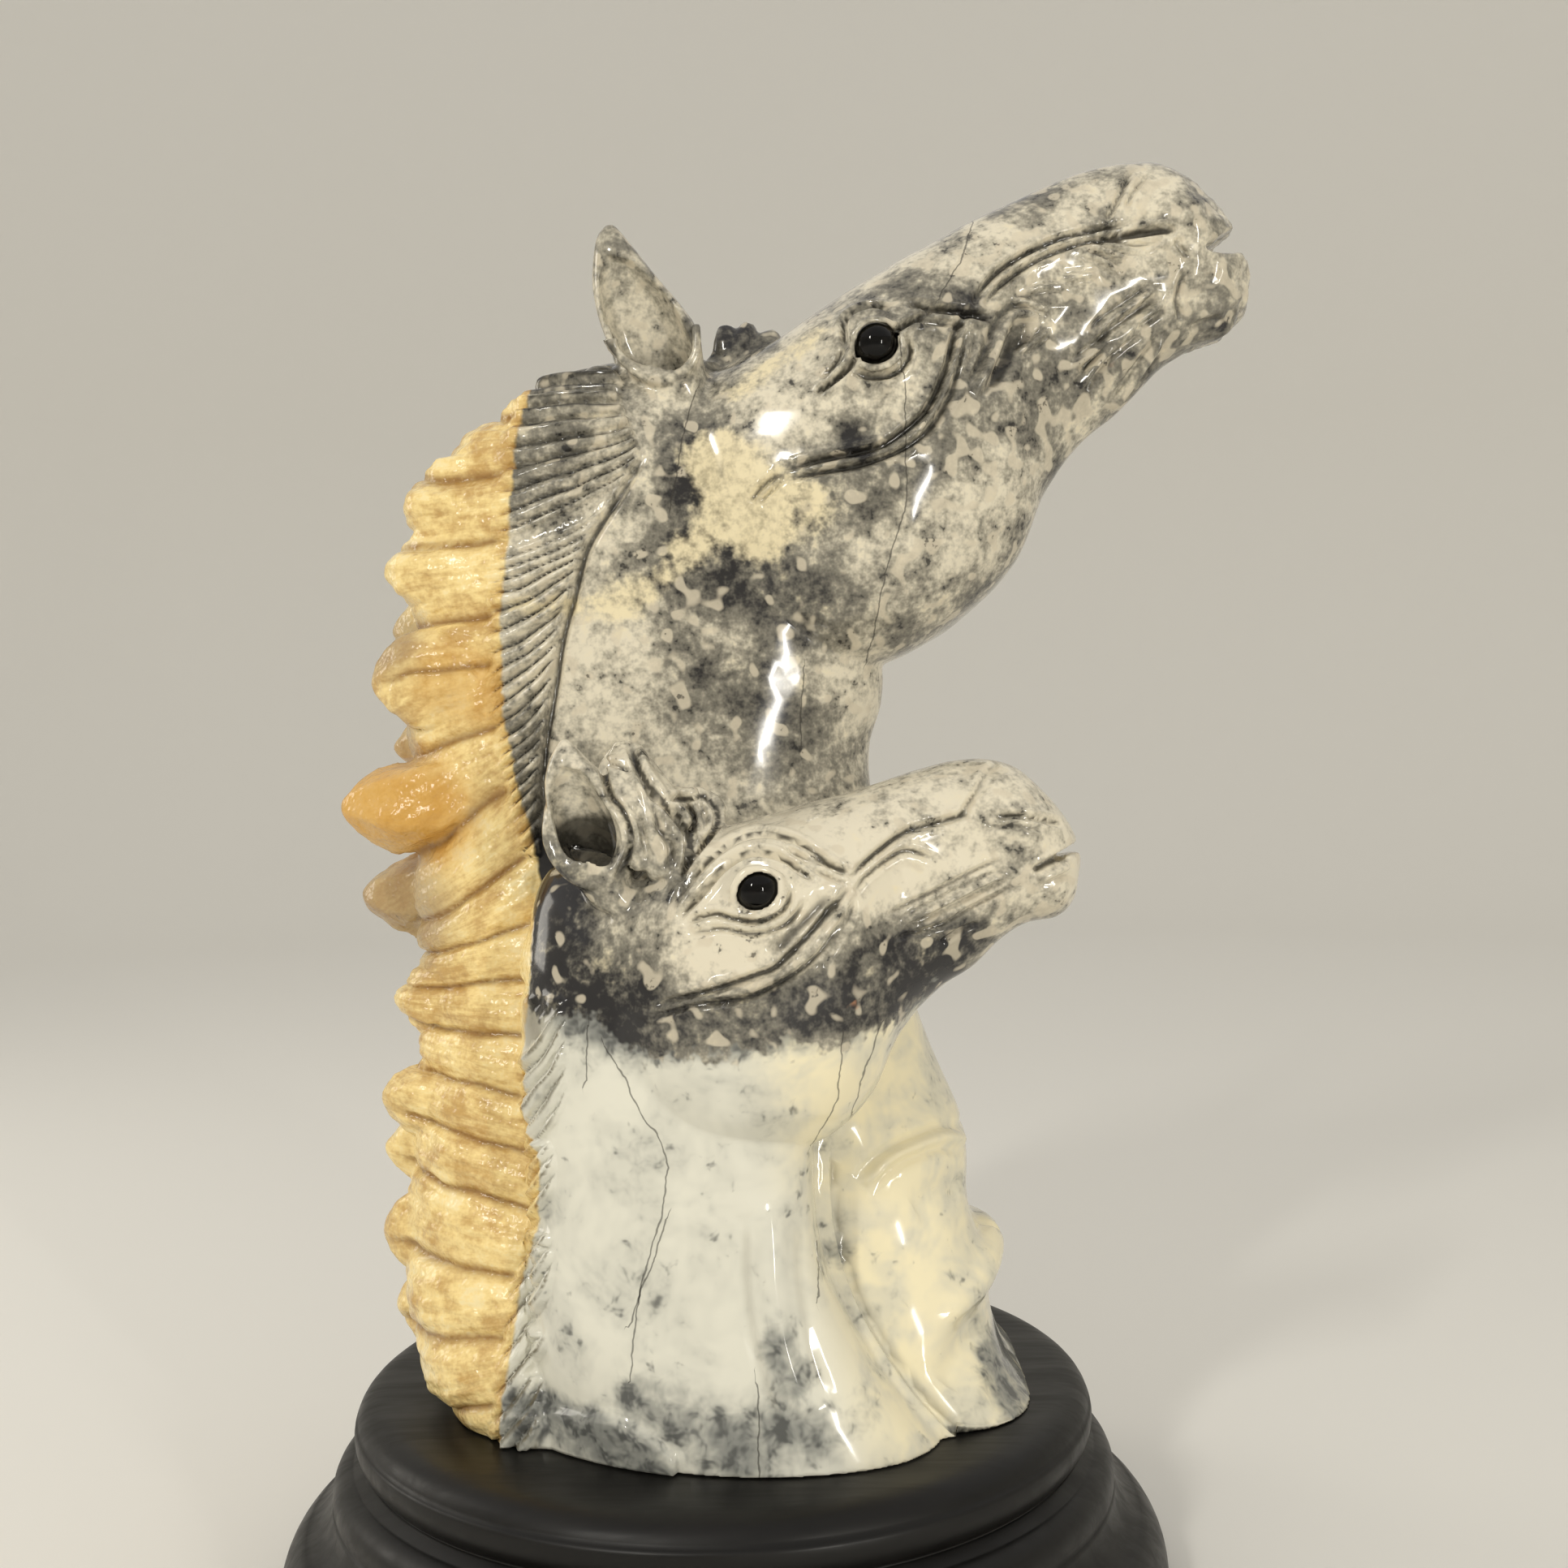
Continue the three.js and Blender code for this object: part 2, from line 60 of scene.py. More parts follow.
# Rounds in which a crease is filled where the voxels are FILLET_VOXEL wide; smaller voxels take more
FILLET_ROUNDS = 70
FILLET_VOXEL = 0.75


def section(start, end, half, widest=0.5, before=2.2, after=2.2, shift=0):
    """A slice through a form: its ends [x, z] in side view, its half thickness across Y, where along it
    that is, how square it is on each side of there, and how far its middle stands off the form's own."""
    return (*start, *end, half, widest, before, after, shift)


# Brow line to jaw line, from the poll to the lips
MARE_HEAD = [
    section([-8, 297], [-12, 257], 18, 0.45, 2.3, 2.6),
    section([5, 301.5], [-2, 238], 24.5, 0.42, 2.4, 2.8),
    section([18.6, 308.5], [16, 226.5], 28.5, 0.4, 2.4, 3),
    section([31, 317], [36, 224], 29.5, 0.38, 2.4, 3),
    section([45, 325], [59, 234.5], 28.5, 0.36, 2.4, 2.8),
    section([57.2, 332], [76, 251], 25.5, 0.36, 2.4, 2.4),
    section([68.6, 338.4], [84, 268], 21.8, 0.38, 2.4, 2.1),
    section([80.5, 344], [93, 280.5], 19, 0.42, 2.3, 2),
    section([92.5, 348.7], [104, 290], 17.5, 0.45, 2.2, 2),
    section([103.3, 351.3], [114.5, 300], 17, 0.45, 2.2, 2.2),
    section([113.2, 351], [123.5, 305.5], 16.8, 0.45, 2.2, 2.2),
    section([122, 346], [129.5, 307.3], 15.2, 0.45, 2.2, 2.2),
    section([128.6, 339.6], [134.4, 313], 11.5, 0.45, 2.1, 2.1),
    section([133, 333.5], [136.8, 321], 5.5, 0.5, 2, 2),
]
# Back edge to throat, from the poll down to the stand
MARE_BODY = [
    section([-15.6, 304], [4, 302], 9),
    section([-35, 299.5], [16, 288], 19, 0.5, 2.4, 2.2),
    section([-50, 292], [27, 263], 25, 0.48, 2.6, 2.2),
    section([-61, 283.5], [35, 242], 27, 0.46, 2.8, 2.2),
    section([-69, 270], [42, 227], 27.5, 0.45, 3, 2.2),
    section([-73, 254], [42, 216], 27.5, 0.45, 3, 2.2),
    section([-75, 234], [39, 206], 28, 0.46, 3, 2.2),
    section([-76, 214], [39, 196], 29, 0.48, 3, 2.2),
    section([-76, 194], [41, 182], 30.5, 0.5, 3, 2.3),
    section([-75, 170], [45, 164], 32.5, 0.5, 3, 2.3),
    section([-73, 149], [48, 145], 34.5, 0.5, 3, 2.4, -0.5),
    section([-73, 130.5], [53.5, 128.5], 36.5, 0.5, 3, 2.5, -1.5),
    section([-75, 112], [60.5, 110], 39, 0.52, 3, 2.7, -2.5),
    section([-76, 93.5], [61, 93], 41.5, 0.52, 3, 2.8, -3.5),
    section([-75.8, 81], [65, 80], 44, 0.52, 3.3, 3, -4.2),
    section([-75, 70], [65.5, 69], 46, 0.52, 3.4, 3.2, -5),
    section([-70, 58], [69, 57], 49, 0.52, 3.8, 3.6, -6),
    section([-63, 50], [74, 50], 50, 0.52, 4.2, 4, -6.5),
]
FOAL_HEAD = [
    section([-14, 179], [-30, 148], 17, 0.45, 2.3, 2.8),
    section([-4.7, 183.5], [-23, 130], 23, 0.42, 2.4, 3),
    section([3.7, 186.2], [-10, 117.5], 27, 0.4, 2.4, 3.3),
    section([13, 188.8], [8, 113], 28.5, 0.38, 2.4, 3.4),
    section([23.2, 191.8], [26, 117], 27, 0.36, 2.4, 3),
    section([32.5, 194.3], [36.5, 127], 23.5, 0.36, 2.4, 2.5),
    section([41.7, 197], [42.5, 139], 20, 0.4, 2.4, 2.2),
    section([49.3, 199.2], [50.4, 148], 17.8, 0.44, 2.2, 2),
    section([56.8, 200.8], [58.8, 153.8], 16.2, 0.45, 2.2, 2),
    section([63.3, 201], [65.8, 160.2], 15.8, 0.45, 2.2, 2.2),
    section([69.7, 199], [71.9, 163.8], 15, 0.45, 2.2, 2.2),
    section([75.8, 193.6], [78.5, 165], 12.5, 0.45, 2.2, 2.2),
    section([80.6, 187.8], [82.4, 168.5], 8.8, 0.45, 2.1, 2.1),
    section([83.6, 182], [83.8, 174], 3.8, 0.5, 2, 2),
]
FOAL_NECK = [
    section([-34, 182], [2, 179], 7, 0.5, 2.2, 2.2, 4),
    section([-40, 173], [14, 168], 17, 0.5, 2.2, 2.2, 2),
    section([-43, 158], [22, 155], 23, 0.5, 2.2, 2.4),
    section([-43.5, 145], [23, 143], 25, 0.5, 2.2, 2.8),
    section([-43, 130.5], [24.5, 129.5], 25.5, 0.5, 2.2, 3.2),
    section([-42.5, 118], [22.5, 117], 25.5, 0.5, 2.2, 3.8),
    section([-42, 103], [22.3, 102.4], 26, 0.5, 2.2, 4.2),
    section([-42, 90.5], [24, 89.6], 27.5, 0.5, 2.2, 4.4),
    section([-42, 78], [29, 77], 29, 0.5, 2.2, 4.2),
    section([-42, 65], [37, 64.5], 31, 0.53, 2, 3.6),
    section([-42.5, 56.5], [45, 56], 32.5, 0.55, 1.8, 3),
    section([-44, 50], [52, 50], 33.5, 0.56, 1.7, 2.6),
]

# Soft round swellings, or hollows where the height is negative: x, z, radius, height
MARE_SWELLS = [
    (42, 262, 40, 2.4),
    (41, 303, 15, 2.2),
    (76, 305, 22, -2),
    (119, 333, 12, 2),
    (20, 297, 11, -1.8),
]
FOAL_SWELLS = [
    (6, 146, 32, 2.4),
    (11, 176, 12, 2),
    (40, 170, 15, -1.6),
    (71, 185, 9, 1.5),
]
CHEST_SWELLS = [
    (60, 124, 19, -4),
    (62, 98, 14, -3.5),
    (66, 70, 17, -4.5),
    (36, 88, 20, -3),
]

# Ears from the stem to the tip, and the hollows cut into them
MARE_EAR = [
    section([-3, 275], [12, 272], 6),
    section([-13, 289], [4, 282], 7.5),
    section([-21, 298.5], [1, 290.5], 8.2),
    section([-25.4, 306.5], [-0.8, 298], 8.4),
    section([-27.6, 315], [-3, 308], 7.8),
    section([-28, 323], [-11.3, 319], 5.8),
    section([-26.8, 329.5], [-18, 327.5], 3.4),
    section([-24.4, 332.6], [-22, 332.6], 1),
]
MARE_EAR_HOLLOW = [
    section([-17, 297.2], [-8.5, 294.4], 5, 0.5, 2.6, 2.6, 3.5),
    section([-22.4, 303], [-3.6, 297], 8, 0.5, 2.8, 2.8, 2.5),
    section([-25.2, 310.5], [-3.4, 303], 9, 0.5, 2.8, 2.8, 1.2),
    section([-26, 318], [-8.6, 313.8], 8, 0.5, 2.6, 2.6, 0.4),
    section([-25.4, 325], [-16, 322.4], 5),
]
FOAL_EAR = [
    section([-26, 170], [-12, 166], 5.5),
    section([-31.6, 178.5], [-16.6, 174], 6.6),
    section([-34.6, 186.5], [-17.2, 181.5], 7),
    section([-35.6, 195], [-19.6, 190.5], 6.4),
    section([-34.6, 201.5], [-23.6, 199], 4.4),
    section([-32, 206.6], [-30, 206.6], 0.9),
]
FOAL_EAR_HOLLOW = [
    section([-28, 178.4], [-21.5, 176.6], 6, 0.5, 3, 3, 6),
    section([-31.6, 181.6], [-19.4, 178.4], 7, 0.5, 3, 3, 5),
    section([-33.6, 188.5], [-18.9, 183.6], 7.5, 0.5, 3, 3, 2.2),
    section([-34.6, 195], [-21, 191], 7.2, 0.5, 2.6, 2.6, 0.6),
    section([-33.6, 201.2], [-25.4, 199.2], 4.8),
]
FOAL_FAR_EAR = [
    section([-22, 178], [-8, 178], 6),
    section([-24.5, 189], [-10, 187], 6.2),
    section([-27, 198.5], [-13.5, 195], 5),
    section([-24.5, 204], [-17.5, 202.5], 2.8),
    section([-21, 207], [-19.8, 207], 0.9),
]
# Forelocks, the foal's five and then the mare's four: the points that each follows, and its radius
FORELOCKS = [
    ([[-19, -42, 205], [-19.5, -49, 197.5], [-16, -53.5, 188], [-13.5, -55, 178]], 4),
    ([[-17.5, -42, 204], [-14.8, -49, 196.5], [-11.6, -53, 187], [-10, -55, 176]], 4.4),
    ([[-16.5, -41, 203], [-12, -47, 195.5], [-7.4, -50.5, 187.5], [-7, -52.5, 181],
      [-8.6, -54, 174.5]], 3.8),
    ([[-12, -37, 194], [-6, -41, 192.4], [-1.6, -43, 190], [-1.6, -46.5, 184.5], [-5, -50, 178]], 3.4),
    ([[-9, -33, 192.6], [-2, -37, 192], [0.6, -40, 188], [-1, -44, 182.5]], 3),
    ([[-2, 2, 300], [3, 3, 304], [4, 3, 308], [4, 4, 312]], 3.2),
    ([[2, 0, 300], [7, 2, 305], [9, 3, 309], [10, 4, 312.5]], 3.2),
    ([[6, 0, 300], [11, 2, 304], [14, 3, 307.5], [17, 4, 310]], 3.2),
    ([[0, 4, 300], [5, 5, 303], [10, 6, 305], [16, 6, 304]], 3.6),
]
# Crystals on the back edge: height, X of the tip, radius, tilt, Y off the mare's middle
CRYSTALS = [
    (266, -76.5, 12, 0.35, -13),
    (250, -81, 11, 0.1, -14),
    (223, -84, 14, -0.15, -14),
    (207, -83, 9, 0, 4),
    (192, -91, 14, -0.1, -14),
    (169, -92, 13, -0.05, 6),
    (145, -79, 10, 0, -16),
    (121, -82.5, 11, -0.2, -15),
    (107, -84, 10, -0.1, -8),
    (89, -83, 12, 0.05, -17),
    (70, -79.5, 12, -0.1, -14),
    (237, -84, 12, 0, 9),
    (259, -79, 12, 0.2, 20),
    (213, -82, 13, 0, 24),
    (186, -85, 12, 0.1, 27),
    (137, -83, 14, 0, 20),
    (103, -82, 13, -0.1, 26),
    (74, -80, 13, 0, 22),
]
CRYSTAL_ROOT = -58

# Lines carved on the heads: half width, depth (a ridge where negative), and the points [x, z]
MARE_LINES = [
    (1.1, 1.5, [(17, 270), (25, 272), (38, 274.5), (44, 277), (52, 284), (57, 294), (60, 304), (64, 309)]),
    (1.0, 1.3, [(64, 310), (67, 315), (73, 321), (85, 327.5), (98, 330.5), (114, 331.5)]),
    (1.0, 1.3, [(17, 268.3), (27, 269.5), (38, 271.4), (50, 277), (57.5, 287), (61.5, 299), (62.5, 304)]),
    (1.0, 1.1, [(67, 310), (70, 314.5), (80, 322), (92, 327), (98, 327.5), (105, 326), (114, 327)]),
    (0.9, 0.7, [(50, 274.5), (57.5, 284), (63, 297), (64.5, 304)]),
    (1.0, 1.0, [(17, 269.5), (13, 267), (10, 263.5)]),
    (0.8, 0.8, [(17.7, 268), (15, 265.5), (12.3, 263)]),
    (1.2, 1.5, [(48.5, 310.5), (54.5, 309), (62, 308.3), (69, 307.5)]),
    (0.9, 1.0, [(50, 306), (55, 305.3), (62, 305)]),
    (2.0, 1.0, [(79, 306), (75.5, 302.5), (72.5, 297), (69, 290.5)]),
    (1.5, -1.2, [(80.8, 309.1), (75.2, 309.1), (71.9, 305.6), (69.3, 298.9), (66.2, 292.6), (63.8, 288.8)]),
    (1.2, 1.8, [(98.8, 328.7), (104, 329), (110, 329.7), (114.5, 329.7)]),
    (0.9, 0.9, [(105, 346), (102, 340), (98, 332)]),
    (0.8, 0.7, [(108.7, 345), (105, 340), (103, 336)]),
    (0.9, -0.8, [(94.6, 328.8), (104.2, 331.1), (113.1, 331.7)]),
    (0.9, -0.9, [(96.8, 327.2), (105, 325.5), (114.4, 327)]),
    (0.8, -0.8, [(94.4, 325.8), (98.5, 324.5), (102.7, 323)]),
    (0.8, -0.8, [(92.1, 324.1), (97.1, 322.1), (100.8, 319.9)]),
    (0.9, -0.8, [(86.9, 317.7), (91, 318.4), (95.2, 318.9)]),
    (0.8, -0.7, [(77.6, 314.5), (82, 315.8), (87.4, 315.9)]),
    (0.8, -0.9, [(74.3, 312.3), (78.6, 311.9), (83.2, 310.1)]),
    (0.8, -0.8, [(83.2, 305.4), (79.9, 303), (76, 300)]),
    (1.0, -1.0, [(109.7, 316), (106, 313.3), (102.7, 311.1), (98, 308), (94.4, 304.4)]),
    (1.0, -1.0, [(112.2, 312.7), (106.6, 309.1), (101.5, 305.5), (93.6, 300), (89.8, 297.3)]),
    (1.0, -1.0, [(106.7, 307.4), (99.3, 302), (95.1, 297.5), (91.5, 292.2)]),
    (1.0, -1.0, [(112.9, 305), (109.5, 300.4), (105.6, 294.9), (100.9, 289)]),
    (1.0, 0.9, [(117.7, 320.5), (116, 317), (115.5, 313), (117, 309)]),
    (0.9, 0.7, [(119.5, 307.5), (123.5, 309.5), (127.5, 310.5)]),
    (0.9, 0.8, [(117.6, 323), (115, 326.3), (115.2, 328)]),
    (0.9, 1.5, [(33, 300), (33, 306), (35.2, 309), (40, 310.4), (44, 309)]),
    (0.9, 1.6, [(35.6, 297.4), (33.9, 294.6), (30.4, 291.6), (26, 288.5)]),
    (0.8, 1.0, [(32.6, 299.5), (31.2, 296.3), (27.6, 292)]),
    (0.8, -1.0, [(36.4, 295), (39.6, 293.9), (43.4, 294.8), (46, 297.8), (46.2, 301.6)]),
    (0.8, 1.4, [(35, 293.3), (38.6, 291.8), (43, 292), (46.6, 294), (48.6, 297.7), (48.2, 301.6)]),
    (0.9, 1.5, [(44.4, 301.4), (46.6, 304), (50, 306.2), (54, 308)]),
]
FOAL_LINES = [
    (1.0, 1.3, [(-11, 149.5), (0, 152.5), (10, 155.7), (15.5, 158), (24, 166), (31, 174)]),
    (1.0, 1.2, [(31, 175), (34, 178.5), (42, 184.5), (48, 186.5), (58.5, 189)]),
    (0.9, 1.0, [(32, 172.5), (34.5, 176), (42, 180.8), (46.5, 180.3), (49, 179)]),
    (0.9, 1.1, [(-12.5, 146.5), (-2, 149.8), (5, 150.5), (12, 152.4), (23, 159), (31, 169.5)]),
    (0.8, 0.7, [(24, 157.5), (30.4, 166.5), (31.6, 171)]),
    (2.6, 1.0, [(27, 172), (22.5, 167.7), (18, 164), (14.5, 159.5)]),
    (0.9, 1.1, [(16.6, 183), (20, 180.5), (28, 178), (31.3, 176)]),
    (0.8, 0.8, [(20, 179.3), (27, 175.8), (30.6, 174.3)]),
    (0.9, 1.6, [(-5.6, 167.6), (0, 174), (4.3, 178.6), (9.6, 181.2), (15.7, 180.4), (20, 177.6),
                (23, 175.3)]),
    (0.9, 1.3, [(-7.4, 169.9), (-2, 177.2), (5, 183), (11.3, 185.1), (18.4, 183.9), (24.4, 180.4),
                (30, 175.6)]),
    (0.8, 1.3, [(-4.4, 166.8), (1.6, 168.6), (6, 167.6), (11.3, 167), (16.4, 169.4), (18.6, 173.6)]),
    (0.8, 1.0, [(-3.5, 164.6), (3.5, 165.6), (10.4, 164.4), (17.2, 166.6), (21.4, 171.6)]),
    (0.9, 1.1, [(63, 187.8), (67.3, 188.3), (74, 187.3), (79, 186)]),
    (0.9, 1.2, [(71.5, 176), (75.5, 178), (79, 179.6), (82, 181)]),
    (1.1, -0.8, [(72.5, 173.8), (76.5, 175.6), (80, 177)]),
    (0.8, 0.7, [(61, 186), (66.4, 186), (74, 185.5)]),
    (0.9, 0.9, [(65.4, 200), (62, 197.8), (60, 194.6), (55.3, 188)]),
    (0.8, 0.6, [(67, 198.5), (63.8, 197.5), (61.6, 194.6), (59.6, 192)]),
    (0.9, -0.9, [(42, 165.3), (48.3, 168), (54.6, 171), (61, 174), (65.5, 175.3)]),
    (0.8, 0.8, [(38.7, 167.2), (49, 171.8), (60, 177), (64.7, 178.5)]),
    (0.8, 0.8, [(39.7, 162), (51, 164.5), (56.5, 167.4), (67, 172.7)]),
    (0.8, 0.7, [(51, 160.5), (55, 163), (59.3, 164.7)]),
]
# Height above which the mare's lines are carved, and the depth at which a line's dirt and painted shade are
# darkest
MARE_CHIN = 225
DEEP_CUT = 1.9
FORELOCK_LINES = [
    (1.0, 1.9, [(-17.4, 205), (-14.4, 198.6), (-9.6, 192.2), (-6.4, 188.7), (-4.2, 185.2), (-4, 180.1),
                (-6, 175)]),
    (0.9, 1.6, [(-9, 193), (-4.7, 193), (-1, 193.4), (1.8, 189.8), (1.2, 185.7), (-1.6, 182), (-4, 178)]),
    (0.9, 1.3, [(-23.3, 202), (-22.4, 198.2), (-20.6, 193.6), (-17.8, 190), (-16.4, 185), (-17.4, 180),
                (-20, 176)]),
    (0.9, 1.0, [(-13.6, 197), (-11.2, 190.7), (-10.2, 186.6), (-7.7, 182.9), (-8.1, 178.5)]),
    (0.8, 0.7, [(-16.4, 192), (-13.8, 186), (-12.6, 180)]),
    (0.8, 0.8, [(-23, 201.5), (-19.4, 200.6), (-16.2, 199.2)]),
    (0.8, 0.8, [(-4.6, 191.6), (-3.2, 187.8), (-4.2, 183)]),
    (0.7, 0.7, [(-2, 192.3), (-0.8, 189), (-1, 185.7)]),
]
FOAL_NECK_LINES = [
    (3.5, -0.8, [(13, 104), (13, 88), (16, 72), (20, 62)]),
]
# Front edge of the foal's neck, behind which the chest lies deeper
CHEST_EDGE = [(26.5, 118), (26.5, 102), (28.5, 88), (33.5, 75), (42.5, 61.5), (51.5, 52)]
CHEST_DEPTH = 3.2
# The stone stands out under this line at the foot of the foal's mane
LEDGE = [(-42, 57.5), (-32, 60), (-21, 61), (-14, 58.5), (-8, 54)]
LEDGE_DEPTH = 1.8
CHEST_LINES = [
    (1.6, -1.1, [(60, 108), (54, 111), (47, 110.5), (40, 108.2), (34, 103)]),
    (5.0, 0.8, [(58, 98), (52, 99), (46, 96)]),
    (5.0, 1.2, [(62, 69), (56, 65), (52, 60)]),
]
# The knob on the chest's edge, which runs out as a ridge on both sides
CHEST_KNOB = ([[46, -36, 70.5], [55, -30.5, 74.5], [63, -17, 79], [66.2, 4, 80.6], [63, 25, 79],
               [55, 39, 74.5], [46, 45, 70.5]], 4.4)
# The rims of the ears, from the back edge under the hollow to the front edge; the mare's have their Y
# counted from the middle
MARE_EAR_RIM = ([[-24.6, 21, 308], [-22.4, 21, 302], [-18, 21.5, 297], [-12, 22, 294], [-6.3, 22, 295.4],
                 [-2.6, 22, 300], [-2.6, 22, 307]], 1.5)
FOAL_EAR_RIM = ([[-35, -51.5, 192], [-34.9, -53, 185], [-31.8, -54.6, 179.2], [-26.2, -55.8, 175.6],
                 [-20.8, -55.8, 177], [-18.2, -54.4, 182], [-19, -52.6, 188], [-22.4, -51, 195]], 1.9)


# The manes' roots from the top down: X, Z, how steeply a strand falls back from there, and its number
MARE_ROOTS = [
    (-21, 296, 0, 0),
    (-20.5, 288, 0.1, 3),
    (-17.5, 281, 0.6, 5.5),
    (-15.5, 275, 1.8, 9),
    (-21.7, 264.7, 1.5, 12.5),
    (-26.5, 257.6, 1.4, 14.5),
    (-29.9, 251.1, 1.5, 16.5),
    (-32.6, 241.2, 1.9, 19),
    (-35.4, 231.4, 2.4, 21.5),
    (-37.6, 218.3, 2.5, 24.5),
    (-39.8, 205.2, 2.3, 27.5),
    (-40.6, 195.4, 2.1, 30),
    (-40.5, 184, 2, 32.5),
]
MARE_FAR_SHARE = 0.5
FOAL_ROOTS = [
    (-29.4, 156, 4, -2),
    (-30, 146, 4, 0),
    (-30.8, 134.1, 4, 2),
    (-32, 123.9, 4.2, 4),
    (-32.9, 112.7, 4.2, 6),
    (-34.2, 98.5, 4, 8.5),
    (-35, 83.2, 4, 11),
    (-35.9, 72, 4, 13),
    (-37, 60, 4, 15),
]
# Highest line of the mane behind the ears: X and height
MANE_CREST = ([-77, -64.5, -48, -25.4], [276, 282, 290, 306])
# The foal's mane ends in five tufts, one over the other
FOAL_TUFTS = [(-31.1, 142), (-31.1, 135.6), (-31.3, 129.6), (-33.4, 122.7), (-38, 118), (-34.6, 117.4),
              (-34.2, 113.7), (-34.6, 107.7), (-36.7, 102.8), (-39.4, 97.6), (-35.6, 97), (-35.6, 95.2),
              (-38.5, 94.6), (-35.2, 94), (-35.2, 88.8), (-36, 82.8), (-39.1, 77.9), (-42, 75.6), (-37, 75),
              (-37.1, 71.8), (-38.8, 67.9), (-42.3, 64.9), (-38, 64.3), (-38.6, 58)]
# Edge of the golden vein in side view, from the top down
VEIN_EDGE = [(-42.5, 305), (-44, 288), (-46, 276), (-47.6, 258), (-49.7, 239), (-49.2, 214), (-45.7, 195),
             (-42.4, 185), (-40.5, 172), (-40.2, 160), (-41, 147), (-42.3, 138), (-42.5, 120), (-38, 113),
             (-39, 100), (-44, 84), (-47.6, 60), (-48.7, 45)]
# Slope of the vein's ridges by height
VEIN_SLOPES = [(300, -0.1), (262, 0), (236, 0.06), (224, 0.25), (212, 0.33), (196, 0.6), (178, 0.56),
               (160, 0.2), (140, -0.1), (110, -0.28), (90, -0.1), (65, 0.35), (50, 0.4)]
LUMP_HEIGHT = 2.6
LUMP_SINK = 1.5
LAYER_HEIGHT = 0.4
LAYER_WIDTH = 2.8
# Heights at which the vein's lumps meet along its edge
VEIN_SEAMS = [40, 58, 72, 84, 98, 110, 124, 137, 151, 166, 182, 198, 212, 226, 236, 255, 271, 286, 302]


def spline(rows, t):
    """A smooth curve through the rows, read at t from 0 to 1."""
    p = np.asarray(rows, float)
    q = np.vstack([2 * p[0] - p[1], p, 2 * p[-1] - p[-2]])
    place = np.clip(t, 0, 1) * (len(p) - 1)
    i = np.minimum(place.astype(int), len(p) - 2)
    w = (place - i)[:, None]
    a, b, c, d = q[i], q[i + 1], q[i + 2], q[i + 3]
    slope = 0.5 * w * (c - a)
    bend = w**2 * (a - 2.5 * b + 2 * c - 0.5 * d)
    twist = w**3 * (1.5 * b - 0.5 * a - 1.5 * c + 0.5 * d)
    return b + slope + bend + twist


def swell_at(swells, x, z):
    height = np.zeros_like(x)
    for at_x, at_z, radius, rise in swells:
        share = np.minimum(np.hypot(x - at_x, z - at_z) / radius, 1)
        height += rise * (1 - share**2) ** 2
    return height


def linked(name, data):
    """A new object of the scene with that mesh, light or camera."""
    obj = bpy.data.objects.new(name, data)
    bpy.context.scene.collection.objects.link(obj)
    return obj


def new_object(name, points, faces):
    """A closed mesh object from points in millimetres, its faces turned outwards."""
    mesh = bpy.data.meshes.new(name)
    mesh.from_pydata((np.asarray(points) * MM).tolist(), [], faces)
    form = bmesh.new()
    form.from_mesh(mesh)
    bmesh.ops.recalc_face_normals(form, faces=form.faces)
    form.to_mesh(mesh)
    form.free()
    return linked(name, mesh)


def skin(name, rings):
    """A closed skin over rings of points, with a fan over each end."""
    count, around = rings.shape[:2]
    points = np.concatenate([rings.reshape(-1, 3), [rings[0].mean(0)], [rings[-1].mean(0)]])
    grid = np.arange(count * around).reshape(count, around)
    beside = np.roll(grid, -1, axis=1)
    quads = np.stack([grid[:-1], grid[1:], beside[1:], beside[:-1]], -1).reshape(-1, 4).tolist()
    start = count * around
    fans = [(start, a, b) for a, b in zip(grid[0].tolist(), beside[0].tolist())]
    fans += [(start + 1, b, a) for a, b in zip(grid[-1].tolist(), beside[-1].tolist())]
    return new_object(name, points, quads + fans)


def loft(name, sections, middle, swells=(), lean=0.0, along=130, around=110):
    t = np.linspace(0, 1, along + 1)
    rows = spline(sections, t)
    x0, z0, x1, z1, half, widest, before, after, shift = (rows[:, i : i + 1] for i in range(9))
    angle = (np.arange(around) + 0.5) / around * 2 * np.pi
    c = np.cos(angle)[None, :]
    s = np.sin(angle)[None, :]
    power = 2 / np.where(c > 0, before, after)
    span = np.where(c > 0, widest, 1 - widest)
    share = widest - np.sign(c) * span * np.abs(c) ** power
    x = x0 + (x1 - x0) * share
    z = z0 + (z1 - z0) * share
    out = half * np.abs(s) ** power + swell_at(swells, x, z) * np.abs(s)
    y = middle + lean * t[:, None] + shift + np.sign(s) * out
    return skin(name, np.stack([x, y, z], -1))


def lock(name, points, radius, sides=14, steps=28):
    """A round ridge along a curve, thick in the middle and fine at both ends."""
    t = np.linspace(0, 1, steps + 1)
    path = spline(points, t)
    ahead = np.gradient(path, axis=0)
    ahead /= np.linalg.norm(ahead, axis=1)[:, None]
    across = np.cross(ahead, (0, 1, 0))
    across /= np.linalg.norm(across, axis=1)[:, None]
    up = np.cross(across, ahead)
    size = radius * (0.35 + 0.65 * np.sin(np.pi * (0.12 + 0.76 * t)))
    angle = np.arange(sides) / sides * 2 * np.pi
    turn = across[:, None] * np.cos(angle)[None, :, None] + up[:, None] * np.sin(angle)[None, :, None]
    return skin(name, path[:, None] + size[:, None, None] * turn)


